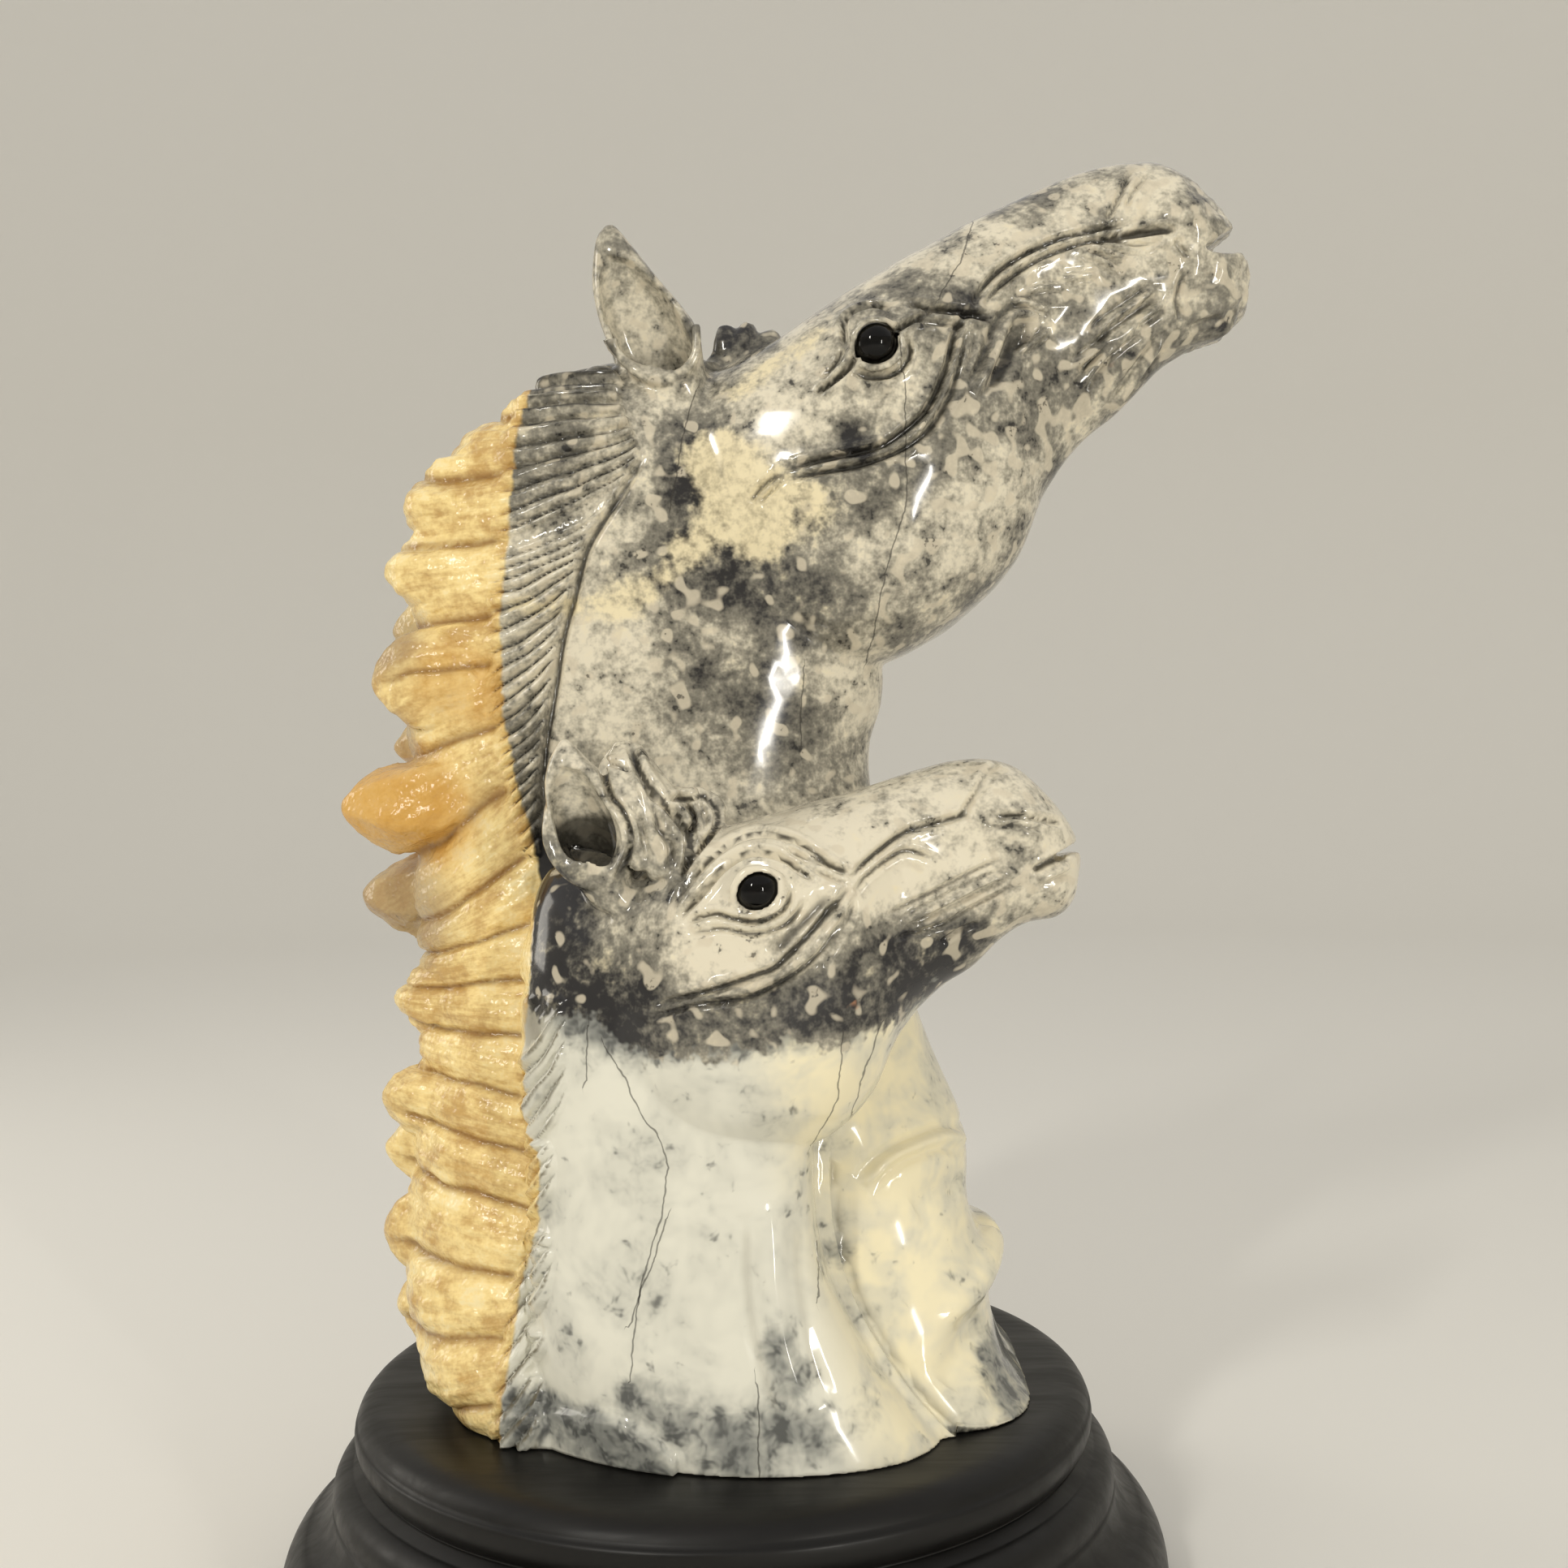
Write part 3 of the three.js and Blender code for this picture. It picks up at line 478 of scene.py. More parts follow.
def crystal(name, z, tip, radius, tilt, y):
    """A blunt lump with a few sides that stands out backwards."""
    length = CRYSTAL_ROOT - tip
    profile = [(radius * (1 - t**3) ** 0.7, length * t) for t in (0, 0.35, 0.6, 0.76, 0.88, 0.95, 0.99)]
    angle = np.arange(6) / 6 * 2 * np.pi + z
    rings = []
    for size, out in profile:
        across = size * np.cos(angle)
        x = CRYSTAL_ROOT - out * math.cos(tilt) + across * math.sin(tilt)
        side = MARE_MIDDLE + y + out * math.sin(tilt) + across * math.cos(tilt)
        rings.append(np.stack([x, side, z + size * np.sin(angle)], -1))
    return skin(name, np.array(rings))


def wedge(name, corners, middle):
    """A block with three corners in side view, which opens a mouth."""
    width = 30
    near = [(x, middle - width, z) for x, z in corners]
    far = [(x, middle + width, z) for x, z in corners]
    faces = [(0, 1, 2), (5, 4, 3), (0, 3, 4, 1), (1, 4, 5, 2), (2, 5, 3, 0)]
    return new_object(name, near + far, faces)


def lid(name, centre, radius, side, turn, reach):
    """A rolled lid over a bead eye from corner to corner: reach is how far it leaves the middle of the
    bead free, in degrees, and is negative for the lower lid."""
    points = []
    for step in np.linspace(0, 1, 9):
        around = np.pi * (1 - step) * np.sign(reach)
        corner = abs(2 * step - 1) ** 3
        tip = math.radians(abs(reach) + (LID_CORNER - abs(reach)) * corner)
        u = math.sin(tip) * math.cos(around) * (1 + 0.2 * corner)
        v = math.sin(tip) * math.sin(around)
        away = np.array([u * math.cos(turn) - v * math.sin(turn), side * math.cos(tip),
                         u * math.sin(turn) + v * math.cos(turn)])
        points.append(centre + LID_PLACE * radius * away)
    return lock(name, points, LID_THICKNESS * radius)


def applied(obj):
    """Makes the object's modifiers part of its mesh."""
    graph = bpy.context.evaluated_depsgraph_get()
    made = bpy.data.meshes.new_from_object(obj.evaluated_get(graph))
    old = obj.data
    obj.modifiers.clear()
    obj.data = made
    bpy.data.meshes.remove(old)
    return obj


def discard(obj):
    mesh = obj.data
    bpy.data.objects.remove(obj)
    bpy.data.meshes.remove(mesh)


def cut(tool, *forms):
    """Takes the tool's shape out of each form."""
    for form in forms:
        modifier = form.modifiers.new("cut", "BOOLEAN")
        modifier.operation = "DIFFERENCE"
        modifier.solver = "EXACT"
        modifier.object = tool
        applied(form)
    discard(tool)


def joined(name, objects):
    """One object that holds the meshes of several."""
    points = []
    faces = []
    start = 0
    for obj in objects:
        points.append(read_points(obj.data))
        faces += [[start + i for i in polygon.vertices] for polygon in obj.data.polygons]
        start += len(obj.data.vertices)
        discard(obj)
    mesh = bpy.data.meshes.new(name)
    mesh.from_pydata(np.concatenate(points).tolist(), [], faces)
    return linked(name, mesh)


def bead(node):
    """Centre and radius of an eye, in millimetres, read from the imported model."""
    low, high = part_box(node)
    return np.array((low + high) / 2) / MM, (high.y - low.y) / 2 / MM


def ball(name, centre, radius):
    mesh = bpy.data.meshes.new(name)
    form = bmesh.new()
    bmesh.ops.create_uvsphere(form, u_segments=64, v_segments=32, radius=radius * MM)
    bmesh.ops.translate(form, verts=form.verts, vec=centre * MM)
    form.to_mesh(mesh)
    form.free()
    return linked(name, mesh)


def ear(name, sections, hollow, foot, side, lean, beside):
    """An ear with its hollow, which also goes into the forms beside it."""
    outer = loft(name, sections, foot, lean=lean, along=60, around=60)
    deep = side * 3.5
    shallow = side * 6.5
    sided = [row[:8] + (-side * row[8],) for row in hollow]
    middle = foot + deep + lean * 0.4
    inner = loft(name + "_hollow", sided, middle, lean=lean * 0.5 + shallow - deep, along=50, around=60)
    cut(inner, outer, *beside)
    return outer


EYES = {
    "mare_right_eye": NEAR,
    "mare_left_eye": FAR,
    "foal_right_eye": NEAR,
}
# How the eyes slant in side view, how far each lid and the corners are from a bead's middle in degrees,
# and the lids' distance and thickness in radii of the bead
EYE_TURN = 0.55
UPPER_LID = 62
LOWER_LID = -70
LID_CORNER = 80
LID_PLACE = 1.1
LID_THICKNESS = 0.28


def stone_forms():
    mare = loft("mare_head", MARE_HEAD, MARE_MIDDLE, MARE_SWELLS)
    cut(wedge("mare_mouth", [(120.5, 325.2), (142, 340), (142, 326)], MARE_MIDDLE), mare)
    foal = loft("foal_head", FOAL_HEAD, FOAL_MIDDLE, FOAL_SWELLS)
    cut(wedge("foal_mouth", [(73.5, 176.8), (90, 186.4), (90, 181.4)], FOAL_MIDDLE), foal)
    body = loft("mare_body", MARE_BODY, MARE_MIDDLE, CHEST_SWELLS, along=170, around=140)
    neck = loft("foal_neck", FOAL_NECK, FOAL_NECK_MIDDLE)
    forms = [mare, foal, body, neck, loft("foal_far_ear", FOAL_FAR_EAR, -30, lean=3, along=50, around=50)]
    forms.append(ear("foal_ear", FOAL_EAR, FOAL_EAR_HOLLOW, FOAL_MIDDLE - 12, NEAR, -3, [foal, neck, body]))
    for side in (NEAR, FAR):
        foot = MARE_MIDDLE + side * 12
        forms.append(ear("mare_ear", MARE_EAR, MARE_EAR_HOLLOW, foot, side, side * 7, [mare, body]))
        rim, radius = MARE_EAR_RIM
        forms.append(lock("mare_ear_rim", [(x, MARE_MIDDLE + side * y, z) for x, y, z in rim], radius))
    for node, side in EYES.items():
        centre, radius = bead(node)
        around = [lid("lid", centre, radius, side, EYE_TURN, reach) for reach in (UPPER_LID, LOWER_LID)]
        head = mare if node.startswith("mare") else foal
        cut(ball("socket", centre, radius + REST_GAP), head, *around)
        forms += around
    forms += [lock("forelock", *forelock) for forelock in FORELOCKS]
    forms += [lock("chest_knob", *CHEST_KNOB), lock("foal_ear_rim", *FOAL_EAR_RIM)]
    forms += [crystal("crystal", *row) for row in CRYSTALS]
    return forms


def lattice(i, j, k, seed):
    """A repeatable number from 0 to 1 for each corner of a lattice."""
    mixed = (i * 374761393 + j * 668265263 + k * 2147483647 + seed * 144665) & 0xFFFFFFFF
    mixed = ((mixed ^ (mixed >> 13)) * 1274126177) & 0xFFFFFFFF
    return ((mixed ^ (mixed >> 16)) & 0xFFFF) / 0xFFFF


def noise(points, size, seed=0):
    """Smooth noise from -1 to 1 with features of about that size."""
    place = np.asarray(points) / size + 1000
    cell = np.floor(place).astype(np.int64)
    w = place - cell
    w = w * w * (3 - 2 * w)
    total = np.zeros(len(place))
    for i in (0, 1):
        for j in (0, 1):
            for k in (0, 1):
                share = (w[:, 0] if i else 1 - w[:, 0]) * (w[:, 1] if j else 1 - w[:, 1])
                share = share * (w[:, 2] if k else 1 - w[:, 2])
                total += share * lattice(cell[:, 0] + i, cell[:, 1] + j, cell[:, 2] + k, seed)
    return total * 2 - 1


def clouds(points, size, seed, octaves=3):
    """Noise of that size with finer noise on it."""
    total = np.zeros(len(points))
    for i in range(octaves):
        total += noise(points, size / 2**i, seed + i) / 2**i
    return total


def smoothstep(low, high, value):
    t = np.clip((value - low) / (high - low), 0, 1)
    return t * t * (3 - 2 * t)


def nearest(line, x, z):
    """Distance from each (x, z) to a line of points, how far along the line that is, 0 to 1,
    and on which side of it the point lies."""
    lengths = np.hypot(*np.diff(line, axis=0).T)
    reached = np.concatenate([[0], np.cumsum(lengths)])
    best = np.full(len(x), 1e9)
    share = np.zeros(len(x))
    side = np.zeros(len(x))
    for start, end, length, before in zip(line[:-1], line[1:], lengths, reached):
        run = (end - start) / length
        along = np.clip((x - start[0]) * run[0] + (z - start[1]) * run[1], 0, length)
        gap = np.hypot(x - start[0] - along * run[0], z - start[1] - along * run[1])
        across = np.sign((x - start[0]) * run[1] - (z - start[1]) * run[0])
        closer = gap < best
        best = np.where(closer, gap, best)
        share = np.where(closer, (before + along) / reached[-1], share)
        side = np.where(closer, across, side)
    return best, share, side


def smooth_line(points, steps=6):
    return spline(points, np.linspace(0, 1, steps * (len(points) - 1) + 1))


def strokes(height, x, z, where, lines, strength=1.5):
    """Adds carved lines to the height, each with a low lip on both sides and fading out at its ends."""
    for size, depth, points in lines:
        width = 0.8 * size
        line = smooth_line(points)
        low = line.min(0) - 3 * width
        high = line.max(0) + 3 * width
        near = np.flatnonzero(where & (x > low[0]) & (x < high[0]) & (z > low[1]) & (z < high[1]))
        gap, share, _ = nearest(line, x[near], z[near])
        fade = np.sqrt(np.clip(np.minimum(share, 1 - share) / 0.14, 0, 1))
        lip = 0.28 if depth > 0 else 0.7
        groove = np.exp(-((gap / width) ** 2))
        beside = np.exp(-(((gap - 1.9 * width) / (0.8 * width)) ** 2))
        height[near] -= strength * depth * fade * (groove - lip * beside)


def edge_at(z):
    """X of the golden vein's edge at each height."""
    rows = np.array(VEIN_EDGE[::-1])
    return np.interp(z, rows[:, 1], rows[:, 0])


def strands(x, z, roots, bend=0.65):
    """Which strand each point lies on, as a number that grows by one from strand to strand."""
    samples = np.linspace(0, 1, 240)
    root_x, root_z, fall, number = spline(roots, samples).T
    low = np.zeros(len(x))
    high = np.ones(len(x))
    for _ in range(18):
        u = (low + high) / 2
        back = np.maximum(np.interp(u, samples, root_x) - x, 0)
        above = np.interp(u, samples, root_z) - np.interp(u, samples, fall) * back**bend > z
        low = np.where(above, u, low)
        high = np.where(above, high, u)
    return np.interp(u, samples, number)


def blades(x, z):
    """Which ridge of the golden vein each point lies on, in millimetres down its edge."""
    rows = np.array(VEIN_SLOPES[::-1])
    back = np.maximum(edge_at(z) - x, -5)
    low = np.full(len(x), 30.0)
    high = np.full(len(x), 330.0)
    for _ in range(20):
        start = (low + high) / 2
        above = start - np.interp(start, rows[:, 0], rows[:, 1]) * back > z
        high = np.where(above, start, high)
        low = np.where(above, low, start)
    return start


def ridge(count, sharpness=0.7):
    """A rounded ridge for each whole number, with a sharp valley between two."""
    return np.abs(np.sin(np.pi * count)) ** sharpness


def mane_height(p, x, z, where, roots, front, share, reach, rise):
    """Tapered strands between the mane's front edge and the golden vein, and the valleys between them.
    Share is the number of strands for each number of the roots, reach how far they run into the vein."""
    height = np.zeros(len(x))
    valley = np.zeros(len(x))
    rows = np.array(roots)
    inside = where & (z < rows[0, 1] + 8) & (z > rows[-1, 1] - 14) & (x < rows[:, 0].max() + 1)
    near = np.flatnonzero(inside & (x > edge_at(z) - reach))
    count = strands(x[near], z[near], roots)
    below = strands(x[near], z[near] - 0.6, roots)
    edge = np.array([row[:2] for row in front[::-1]])
    back = np.interp(z[near], edge[:, 1], edge[:, 0]) - x[near]
    spacing = 0.6 / (share * np.maximum(np.abs(below - count), 0.02))
    count = share * count + 0.2 * noise(p[near], 11, 3) + 0.08 * noise(p[near], 4.5, 4)
    one = np.floor(count)
    size = 0.7 + 0.5 * lattice(one.astype(np.int64), 5, 9, 1)
    fade = smoothstep(-0.4, 1.6, back) * smoothstep(0, 1, (x[near] - edge_at(z[near]) + reach) / reach)
    fade *= smoothstep(0.6, 3, spacing)
    strand = ridge(count)
    fine = ridge(count * 3 + 0.3 * noise(p[near], 6, 8), 0.9) * smoothstep(2.5, 5, spacing)
    height[near] = fade * rise * (size * strand + 0.25 * fine - 0.15)
    valley[near] = fade * (1 - strand) ** 1.1
    return height, valley


def chest_step(x, y, z, height, hollow):
    """Lowers the chest in front of the foal's neck, and adds painted shade in that step."""
    beyond = (y < 0) & (z < 124) & (x > 18)
    gap, share, side = nearest(smooth_line(CHEST_EDGE), x[beyond], z[beyond])
    lower = np.exp(-gap / 7) * smoothstep(0, 0.15, share)
    height[beyond] -= CHEST_DEPTH * lower * smoothstep(-0.5, 0.5, -side * gap)
    dirt_and_shade = 0.8 * lower**3 * smoothstep(-1.2, 0.8, -side * gap)
    hollow[beyond] = np.maximum(hollow[beyond], dirt_and_shade)


def vein_relief(p):
    """Lumps and layers of the golden vein, and how deep between two lumps each point lies."""
    x, _, z = p.T
    vein = smoothstep(0, 4, edge_at(z) - x) * smoothstep(STAND_TOP, STAND_TOP + 6, z)
    lumpy = vein * smoothstep(-84, -72, x)
    start = blades(x, z) + 2.4 * noise(p, 24, 11) + 0.8 * noise(p, 8, 12)
    lump = np.interp(start, VEIN_SEAMS, np.arange(len(VEIN_SEAMS)))
    bulge = 1 - np.abs(2 * (lump - np.floor(lump)) - 1) ** 3
    layers = ridge(start / LAYER_WIDTH + 0.4 * noise(p, 9, 15), 0.9)
    rough = 0.7 * noise(p, 7, 13) + 0.3 * noise(p, 2.8, 14)
    height = lumpy * (LUMP_HEIGHT * bulge - LUMP_SINK + LAYER_HEIGHT * layers) + vein * rough
    return height, 0.9 * lumpy * (1 - bulge) ** 1.5


def relief(p, normal):
    """How far the carving stands above the smooth forms at each point, and how deep in a cut it lies, which
    the material darkens as dirt and painted shade.
    """
    x, y, z = p.T
    height = np.zeros(len(p))
    strokes(height, x, z, (y < MARE_MIDDLE - 4) & (z > MARE_CHIN), MARE_LINES)
    strokes(height, x, z, (y > MARE_MIDDLE + 4) & (z > MARE_CHIN), MARE_LINES, 0.9)
    root_line = [(row[0] + 0.5, row[1]) for row in MARE_ROOTS[3:]]
    strokes(height, x, z, (y < -5) & (z > 190), [(1.1, 1.1, root_line)])
    strokes(height, x, z, (y < FOAL_MIDDLE - 4) & (z > 144) & (z < 203) & (x > -16), FOAL_LINES)
    strokes(height, x, z, (y < FOAL_NECK_MIDDLE - 5) & (z < 122), FOAL_NECK_LINES)
    strokes(height, x, z, (y < FOAL_MIDDLE + 6) & (z > 172) & (z < 207) & (x < 3), FORELOCK_LINES)
    hollow = np.clip(-height, 0, DEEP_CUT) / DEEP_CUT
    strokes(height, x, z, x > 30, CHEST_LINES)
    chest_step(x, y, z, height, hollow)
    facing = smoothstep(0.1, 0.5, np.abs(normal[:, 1]))
    for where, roots, front, share, reach, rise in (
        ((y < -2) & (z > 180), MARE_ROOTS, MARE_ROOTS, 1, 5, 3.3),
        (y > MARE_MIDDLE + 6, MARE_ROOTS, MARE_ROOTS, MARE_FAR_SHARE, 5, 2.2),
        ((y < -20) & (z < 150), FOAL_ROOTS, FOAL_TUFTS, 1, 4, 2.6),
    ):
        rise_here, valley = mane_height(p, x, z, where, roots, front, share, reach, rise)
        height += facing * rise_here
        hollow = np.maximum(hollow, facing * valley)
    lumps, seams = vein_relief(p)
    height += lumps
    hollow = np.maximum(hollow, seams)
    polished = smoothstep(2, -2, edge_at(z) - x)
    height += polished * (0.4 * noise(p, 15, 31) + 0.16 * noise(p, 6, 32))
    chipped = smoothstep(113, 127, x)
    height += chipped * (0.7 * noise(p, 5, 33) + 0.5 * noise(p, 2.4, 34))
    ledge = smooth_line(LEDGE)
    gap = z - np.interp(x, ledge[:, 0], ledge[:, 1], right=0)
    height += LEDGE_DEPTH * smoothstep(0.8, -0.8, gap) * (y < -25) * (x < -8) * (x > -47)
    return height, hollow


def smoothed(p, edges, share, times, outwards_only=None):
    """Moves each point towards the middle of its neighbours, or only outwards along the given normals."""
    a, b = edges.T
    size = len(p)
    count = np.bincount(a, minlength=size) + np.bincount(b, minlength=size)
    for _ in range(times):
        mean = np.empty_like(p)
        for k in range(3):
            total = np.bincount(a, p[b, k], size) + np.bincount(b, p[a, k], size)
            mean[:, k] = total / count
        move = (mean - p) * share[:, None]
        if outwards_only is not None:
            out = np.maximum((move * outwards_only).sum(1), 0)
            move = outwards_only * out[:, None]
        p = p + move
    return p


def read_points(mesh, name="co"):
    values = np.empty(len(mesh.vertices) * 3)
    mesh.vertices.foreach_get(name, values)
    return values.reshape(-1, 3)


def read_edges(mesh):
    values = np.empty(len(mesh.edges) * 2, np.int64)
    mesh.edges.foreach_get("vertices", values)
    return values.reshape(-1, 2)


def write_points(mesh, p):
    mesh.vertices.foreach_set("co", (p * MM).ravel())
    mesh.update()


def melt_weight(p):
    """How far the crease at each point is filled: most where a head grows out of its own neck."""
    x, y, z = p.T
    poll = smoothstep(20, -4, x) * smoothstep(232, 252, z) * smoothstep(292, 284, z)
    foal_poll = smoothstep(-4, -22, x) * smoothstep(128, 145, z) * smoothstep(172, 162, z)
    foal_poll *= smoothstep(-34, -40, y)
    knob = 0.35 * smoothstep(42, 50, x) * smoothstep(100, 92, z) * smoothstep(60, 66, z)
    return np.clip(0.012 + poll + foal_poll + knob, 0, 1)


def carve_stone():
    stone = joined("stone_carving", stone_forms())
    remesh = stone.modifiers.new("remesh", "REMESH")
    remesh.mode = "VOXEL"
    remesh.voxel_size = VOXEL * MM
    applied(stone)
    mesh = stone.data
    edges = read_edges(mesh)
    p = read_points(mesh) / MM
    everywhere = np.full(len(p), 0.5)
    p = smoothed(p, edges, everywhere, 2)
    crest = np.interp(p[:, 0], *MANE_CREST)
    p[:, 2] -= 0.85 * np.maximum(p[:, 2] - crest, 0) * smoothstep(-30, -38, p[:, 0])
    write_points(mesh, p)
    fillets = int(FILLET_ROUNDS * (FILLET_VOXEL / VOXEL) ** 2)
    for _ in range(4):
        p = smoothed(p, edges, 0.9 * melt_weight(p), fillets // 4, read_points(mesh, "normal"))
        write_points(mesh, p)
    p = smoothed(p, edges, everywhere, 1)
    write_points(mesh, p)
    normal = read_points(mesh, "normal")
    p = p + normal * relief(p, normal)[0][:, None]
    for node in EYES:
        p = socket(p, *bead(node))
    p[:, 2] = np.maximum(p[:, 2], STAND_TOP + REST_GAP)
    write_points(mesh, p)
    faces = 2 * len(mesh.polygons)
    if faces > MOST_TRIANGLES:
        fewer = stone.modifiers.new("fewer", "DECIMATE")
        fewer.ratio = MOST_TRIANGLES / faces
        applied(stone)
    mark(stone.data)
    stone.data.shade_smooth()
    return stone


def socket(p, centre, radius):
    """Points that reach into the bead, with its clearance, move straight out of it."""
    reach = radius + REST_GAP
    off = p - centre
    distance = np.linalg.norm(off, axis=1)
    inside = distance < reach
    p[inside] = centre + off[inside] * (reach / np.maximum(distance[inside], 0.1))[:, None]
    return p


# Patches of colour in side view: strength, radius, and the line [x, z] that each follows
CREAM = [
    (1.0, 9.5, [(3, 272), (8, 265), (12, 259)]),
    (0.7, 7, [(12, 266), (22, 261)]),
    (0.85, 3.6, [(2, 259), (-8, 250), (-16, 242), (-24, 239)]),
    (0.6, 2.4, [(-24, 239.5), (-34, 239), (-46, 238.5)]),
    (0.65, 3, [(7, 291), (17, 297.5), (27, 304.5)]),
    (0.5, 5, [(-20, 246), (-24, 238)]),
]
DARK = [
    (0.6, 4, [(-2, 308), (6, 309), (14, 305)]),
    (0.8, 4.5, [(47, 317), (55, 312.5), (61, 311)]),
    (0.7, 3, [(33, 279), (37, 275)]),
    (0.5, 5, [(84, 341), (76, 335)]),
    # Painted shade behind and under the mare's jaw, where it meets the neck
    (0.7, 8, [(-5, 276), (-4, 264), (-6, 257)]),
    (0.7, 9.5, [(-3, 248), (9, 245), (19, 239)]),
    (1.0, 7, [(-12, 144), (2, 146), (15, 147.5), (29, 149), (42, 152), (50, 156)]),
    (0.8, 5, [(33, 157), (44, 160), (57, 162)]),
    (1.0, 10, [(-36, 174), (-34, 160), (-27, 152), (-15, 147)]),
    (0.8, 4.5, [(13, 76), (18, 70)]),
    (0.7, 5, [(-17, 66), (-8, 61)]),
    (0.8, 5, [(2, 60), (5, 55)]),
    (0.5, 7, [(-12, 62), (4, 57), (29, 60)]),
    (0.8, 6, [(-42, 57), (-33, 57), (-22, 55), (-13, 51)]),
    (0.8, 5, [(64, 60), (70, 53)]),
    (0.6, 3, [(26, 89), (30, 87)]),
    # Painted shade on the throat under the mare's jaw
    (0.5, 12, [(0, 215), (22, 205)]),
    (0.25, 12, [(92, 306), (106, 304), (118, 312)]),
]
LIGHT = [
    (0.8, 10, [(50, 321), (66, 325), (84, 333)]),
    (0.35, 12, [(76, 316), (96, 320), (112, 320)]),
    (0.7, 12, [(20, 196), (40, 186), (56, 176)]),
    (0.6, 9, [(24, 302), (44, 292)]),
    (0.4, 9, [(-18, 318), (-12, 306)]),
    (0.4, 12, [(-34, 276), (-38, 250), (-42, 225)]),
    (0.8, 10, [(42, 249), (60, 255), (72, 267)]),
    (0.5, 8, [(17, 282), (27, 285)]),
    (0.9, 6, [(61, 322), (70, 327)]),
    (0.5, 7, [(96, 343), (111, 340)]),
    (0.8, 13, [(-30, 223), (-17, 211), (-3, 203)]),
    (0.5, 7, [(36, 225), (32, 213)]),
    (0.8, 12, [(20, 190), (41, 195), (66, 190)]),
    (0.9, 7, [(0, 166), (5, 162)]),
    (1.0, 13, [(10, 182), (30, 182), (60, 184), (78, 178)]),
    (0.5, 8, [(-28, 185), (-20, 192)]),
]
SPECKLED = [
    (1.0, 16, [(128, 322), (112, 318), (92, 300), (80, 290), (70, 274)]),
    (0.9, 10, [(104, 345), (78, 333), (60, 320)]),
    (0.8, 7, [(44, 156), (60, 162), (70, 168)]),
    (0.7, 8, [(-34, 172), (-30, 160), (-10, 152), (16, 148)]),
]
SMOKY = [
    (1.0, 13, [(-90, 169), (-76, 166)]),
    (0.9, 8, [(-84, 236), (-78, 232)]),
    (0.8, 6, [(-84, 209), (-78, 209)]),
]
AMBER = [
    (1.0, 13, [(-88, 194), (-70, 190)]),
    (0.6, 9, [(-62, 222), (-50, 218)]),
]
RUST = [
    (0.8, 1.3, [(59, 272.5), (60.5, 271)]),
    (0.6, 1.4, [(31, 148), (32.5, 149)]),
    (0.5, 1.2, [(98, 296), (100, 298)]),
]
# Painted shade for the bottoms of the ears' hollows
EAR_BOTTOMS = [
    (1.6, 7, [(-28, 182), (-22.5, 182)]),
    (0.5, 5, [(-16, 300), (-9, 299.5)]),
]
# Lower edge of the grey stone, where the pale stone begins
PALE_EDGE = [(-95, 150), (-40, 147), (-25, 146), (-18, 141), (-13, 138), (-4, 138), (5, 140), (15, 141),
             (26, 140), (38, 143), (60, 148), (90, 150)]
CRACKS = [
    [(-22.6, 140), (-18, 133), (-14.8, 125), (-11, 120.7), (-9, 114), (-10.8, 103.4), (-14.3, 93),
     (-17, 80), (-17.5, 69.5)],
    [(9.2, 69.6), (9.6, 60), (9.3, 50.5)],
    [(29, 144.6), (27.5, 128), (22, 116.5)],
    [(46, 300), (47, 290), (47, 262), (42, 246), (38, 226)],
    [(66, 335), (62, 322), (56, 312)],
    [(22, 224), (21, 205)],
]
# Cracks that branch off or run beside those
SIDE_CRACKS = [
    [(-9.9, 103.4), (-11.4, 97), (-14.5, 90), (-17.5, 82)],
    [(-26.7, 145), (-26.9, 130)],
    [(38, 146), (33, 132), (30, 120)],
    [(-3, 292), (-6, 280), (-9, 262)],
    [(22.5, 96), (23, 84)],
]


def patch(x, z, rows):
    """Soft patches along lines, from 0 to 1."""
    value = np.zeros(len(x))
    for strength, radius, points in rows:
        gap, _, _ = nearest(smooth_line(points, 4), x, z)
        value = np.maximum(value, strength * smoothstep(1.5, 0.5, gap / radius))
    return value


def crack_distance(x, z, cracks):
    """Distance from each point to the closest crack, and the same with its side as the sign."""
    best = np.full(len(x), 8.0)
    signed = np.full(len(x), 8.0)
    for points in cracks:
        gap, _, side = nearest(np.asarray(points, float), x, z)
        closer = gap < best
        best = np.where(closer, gap, best)
        signed = np.where(closer, gap * side, signed)
    return best, signed


def mark(mesh):
    """Stores what the stone's material needs to know at each point."""
    p = read_points(mesh) / MM
    x, y, z = p.T
    rows = np.array(PALE_EDGE)
    wander = 2.2 * noise(p, 9, 21)
    _, hollow = relief(p, read_points(mesh, "normal"))
    crack_gap, crack = crack_distance(x, z, CRACKS)
    side_gap, side_crack = crack_distance(x, z, SIDE_CRACKS)
    ear_shade = patch(x, z, EAR_BOTTOMS) * smoothstep(-54.8, -53, y)
    unseen = np.maximum(smoothstep(-14, 0, y), smoothstep(40, 52, x))
    fields = {
        # How deep in a cut each point lies, with the ears' painted shade added
        "hollow": np.maximum(hollow, ear_shade),
        "clouds": clouds(p, 36, 41),
        "vein": edge_at(z + wander) - x,
        "blade": blades(x, z),
        "pale": np.interp(x, rows[:, 0], rows[:, 1]) - z + unseen * 12 * noise(p, 30, 45),
        "cream": patch(x, z, CREAM),
        "dark": patch(x, z, DARK),
        "light": patch(x, z, LIGHT),
        "speckled": patch(x, z, SPECKLED),
        "smoky": patch(x, z, SMOKY),
        "amber": patch(x, z, AMBER),
        "rust": patch(x, z, RUST),
        "crack": crack,
        "crack_gap": crack_gap,
        "side_crack": side_crack,
        "side_gap": side_gap,
        "warm": smoothstep(14, 34, x + 0.25 * (z - 90)),
    }
    for name, values in fields.items():
        attribute = mesh.attributes.new(name, "FLOAT", "POINT")
        attribute.data.foreach_set("value", values.astype(np.float32))


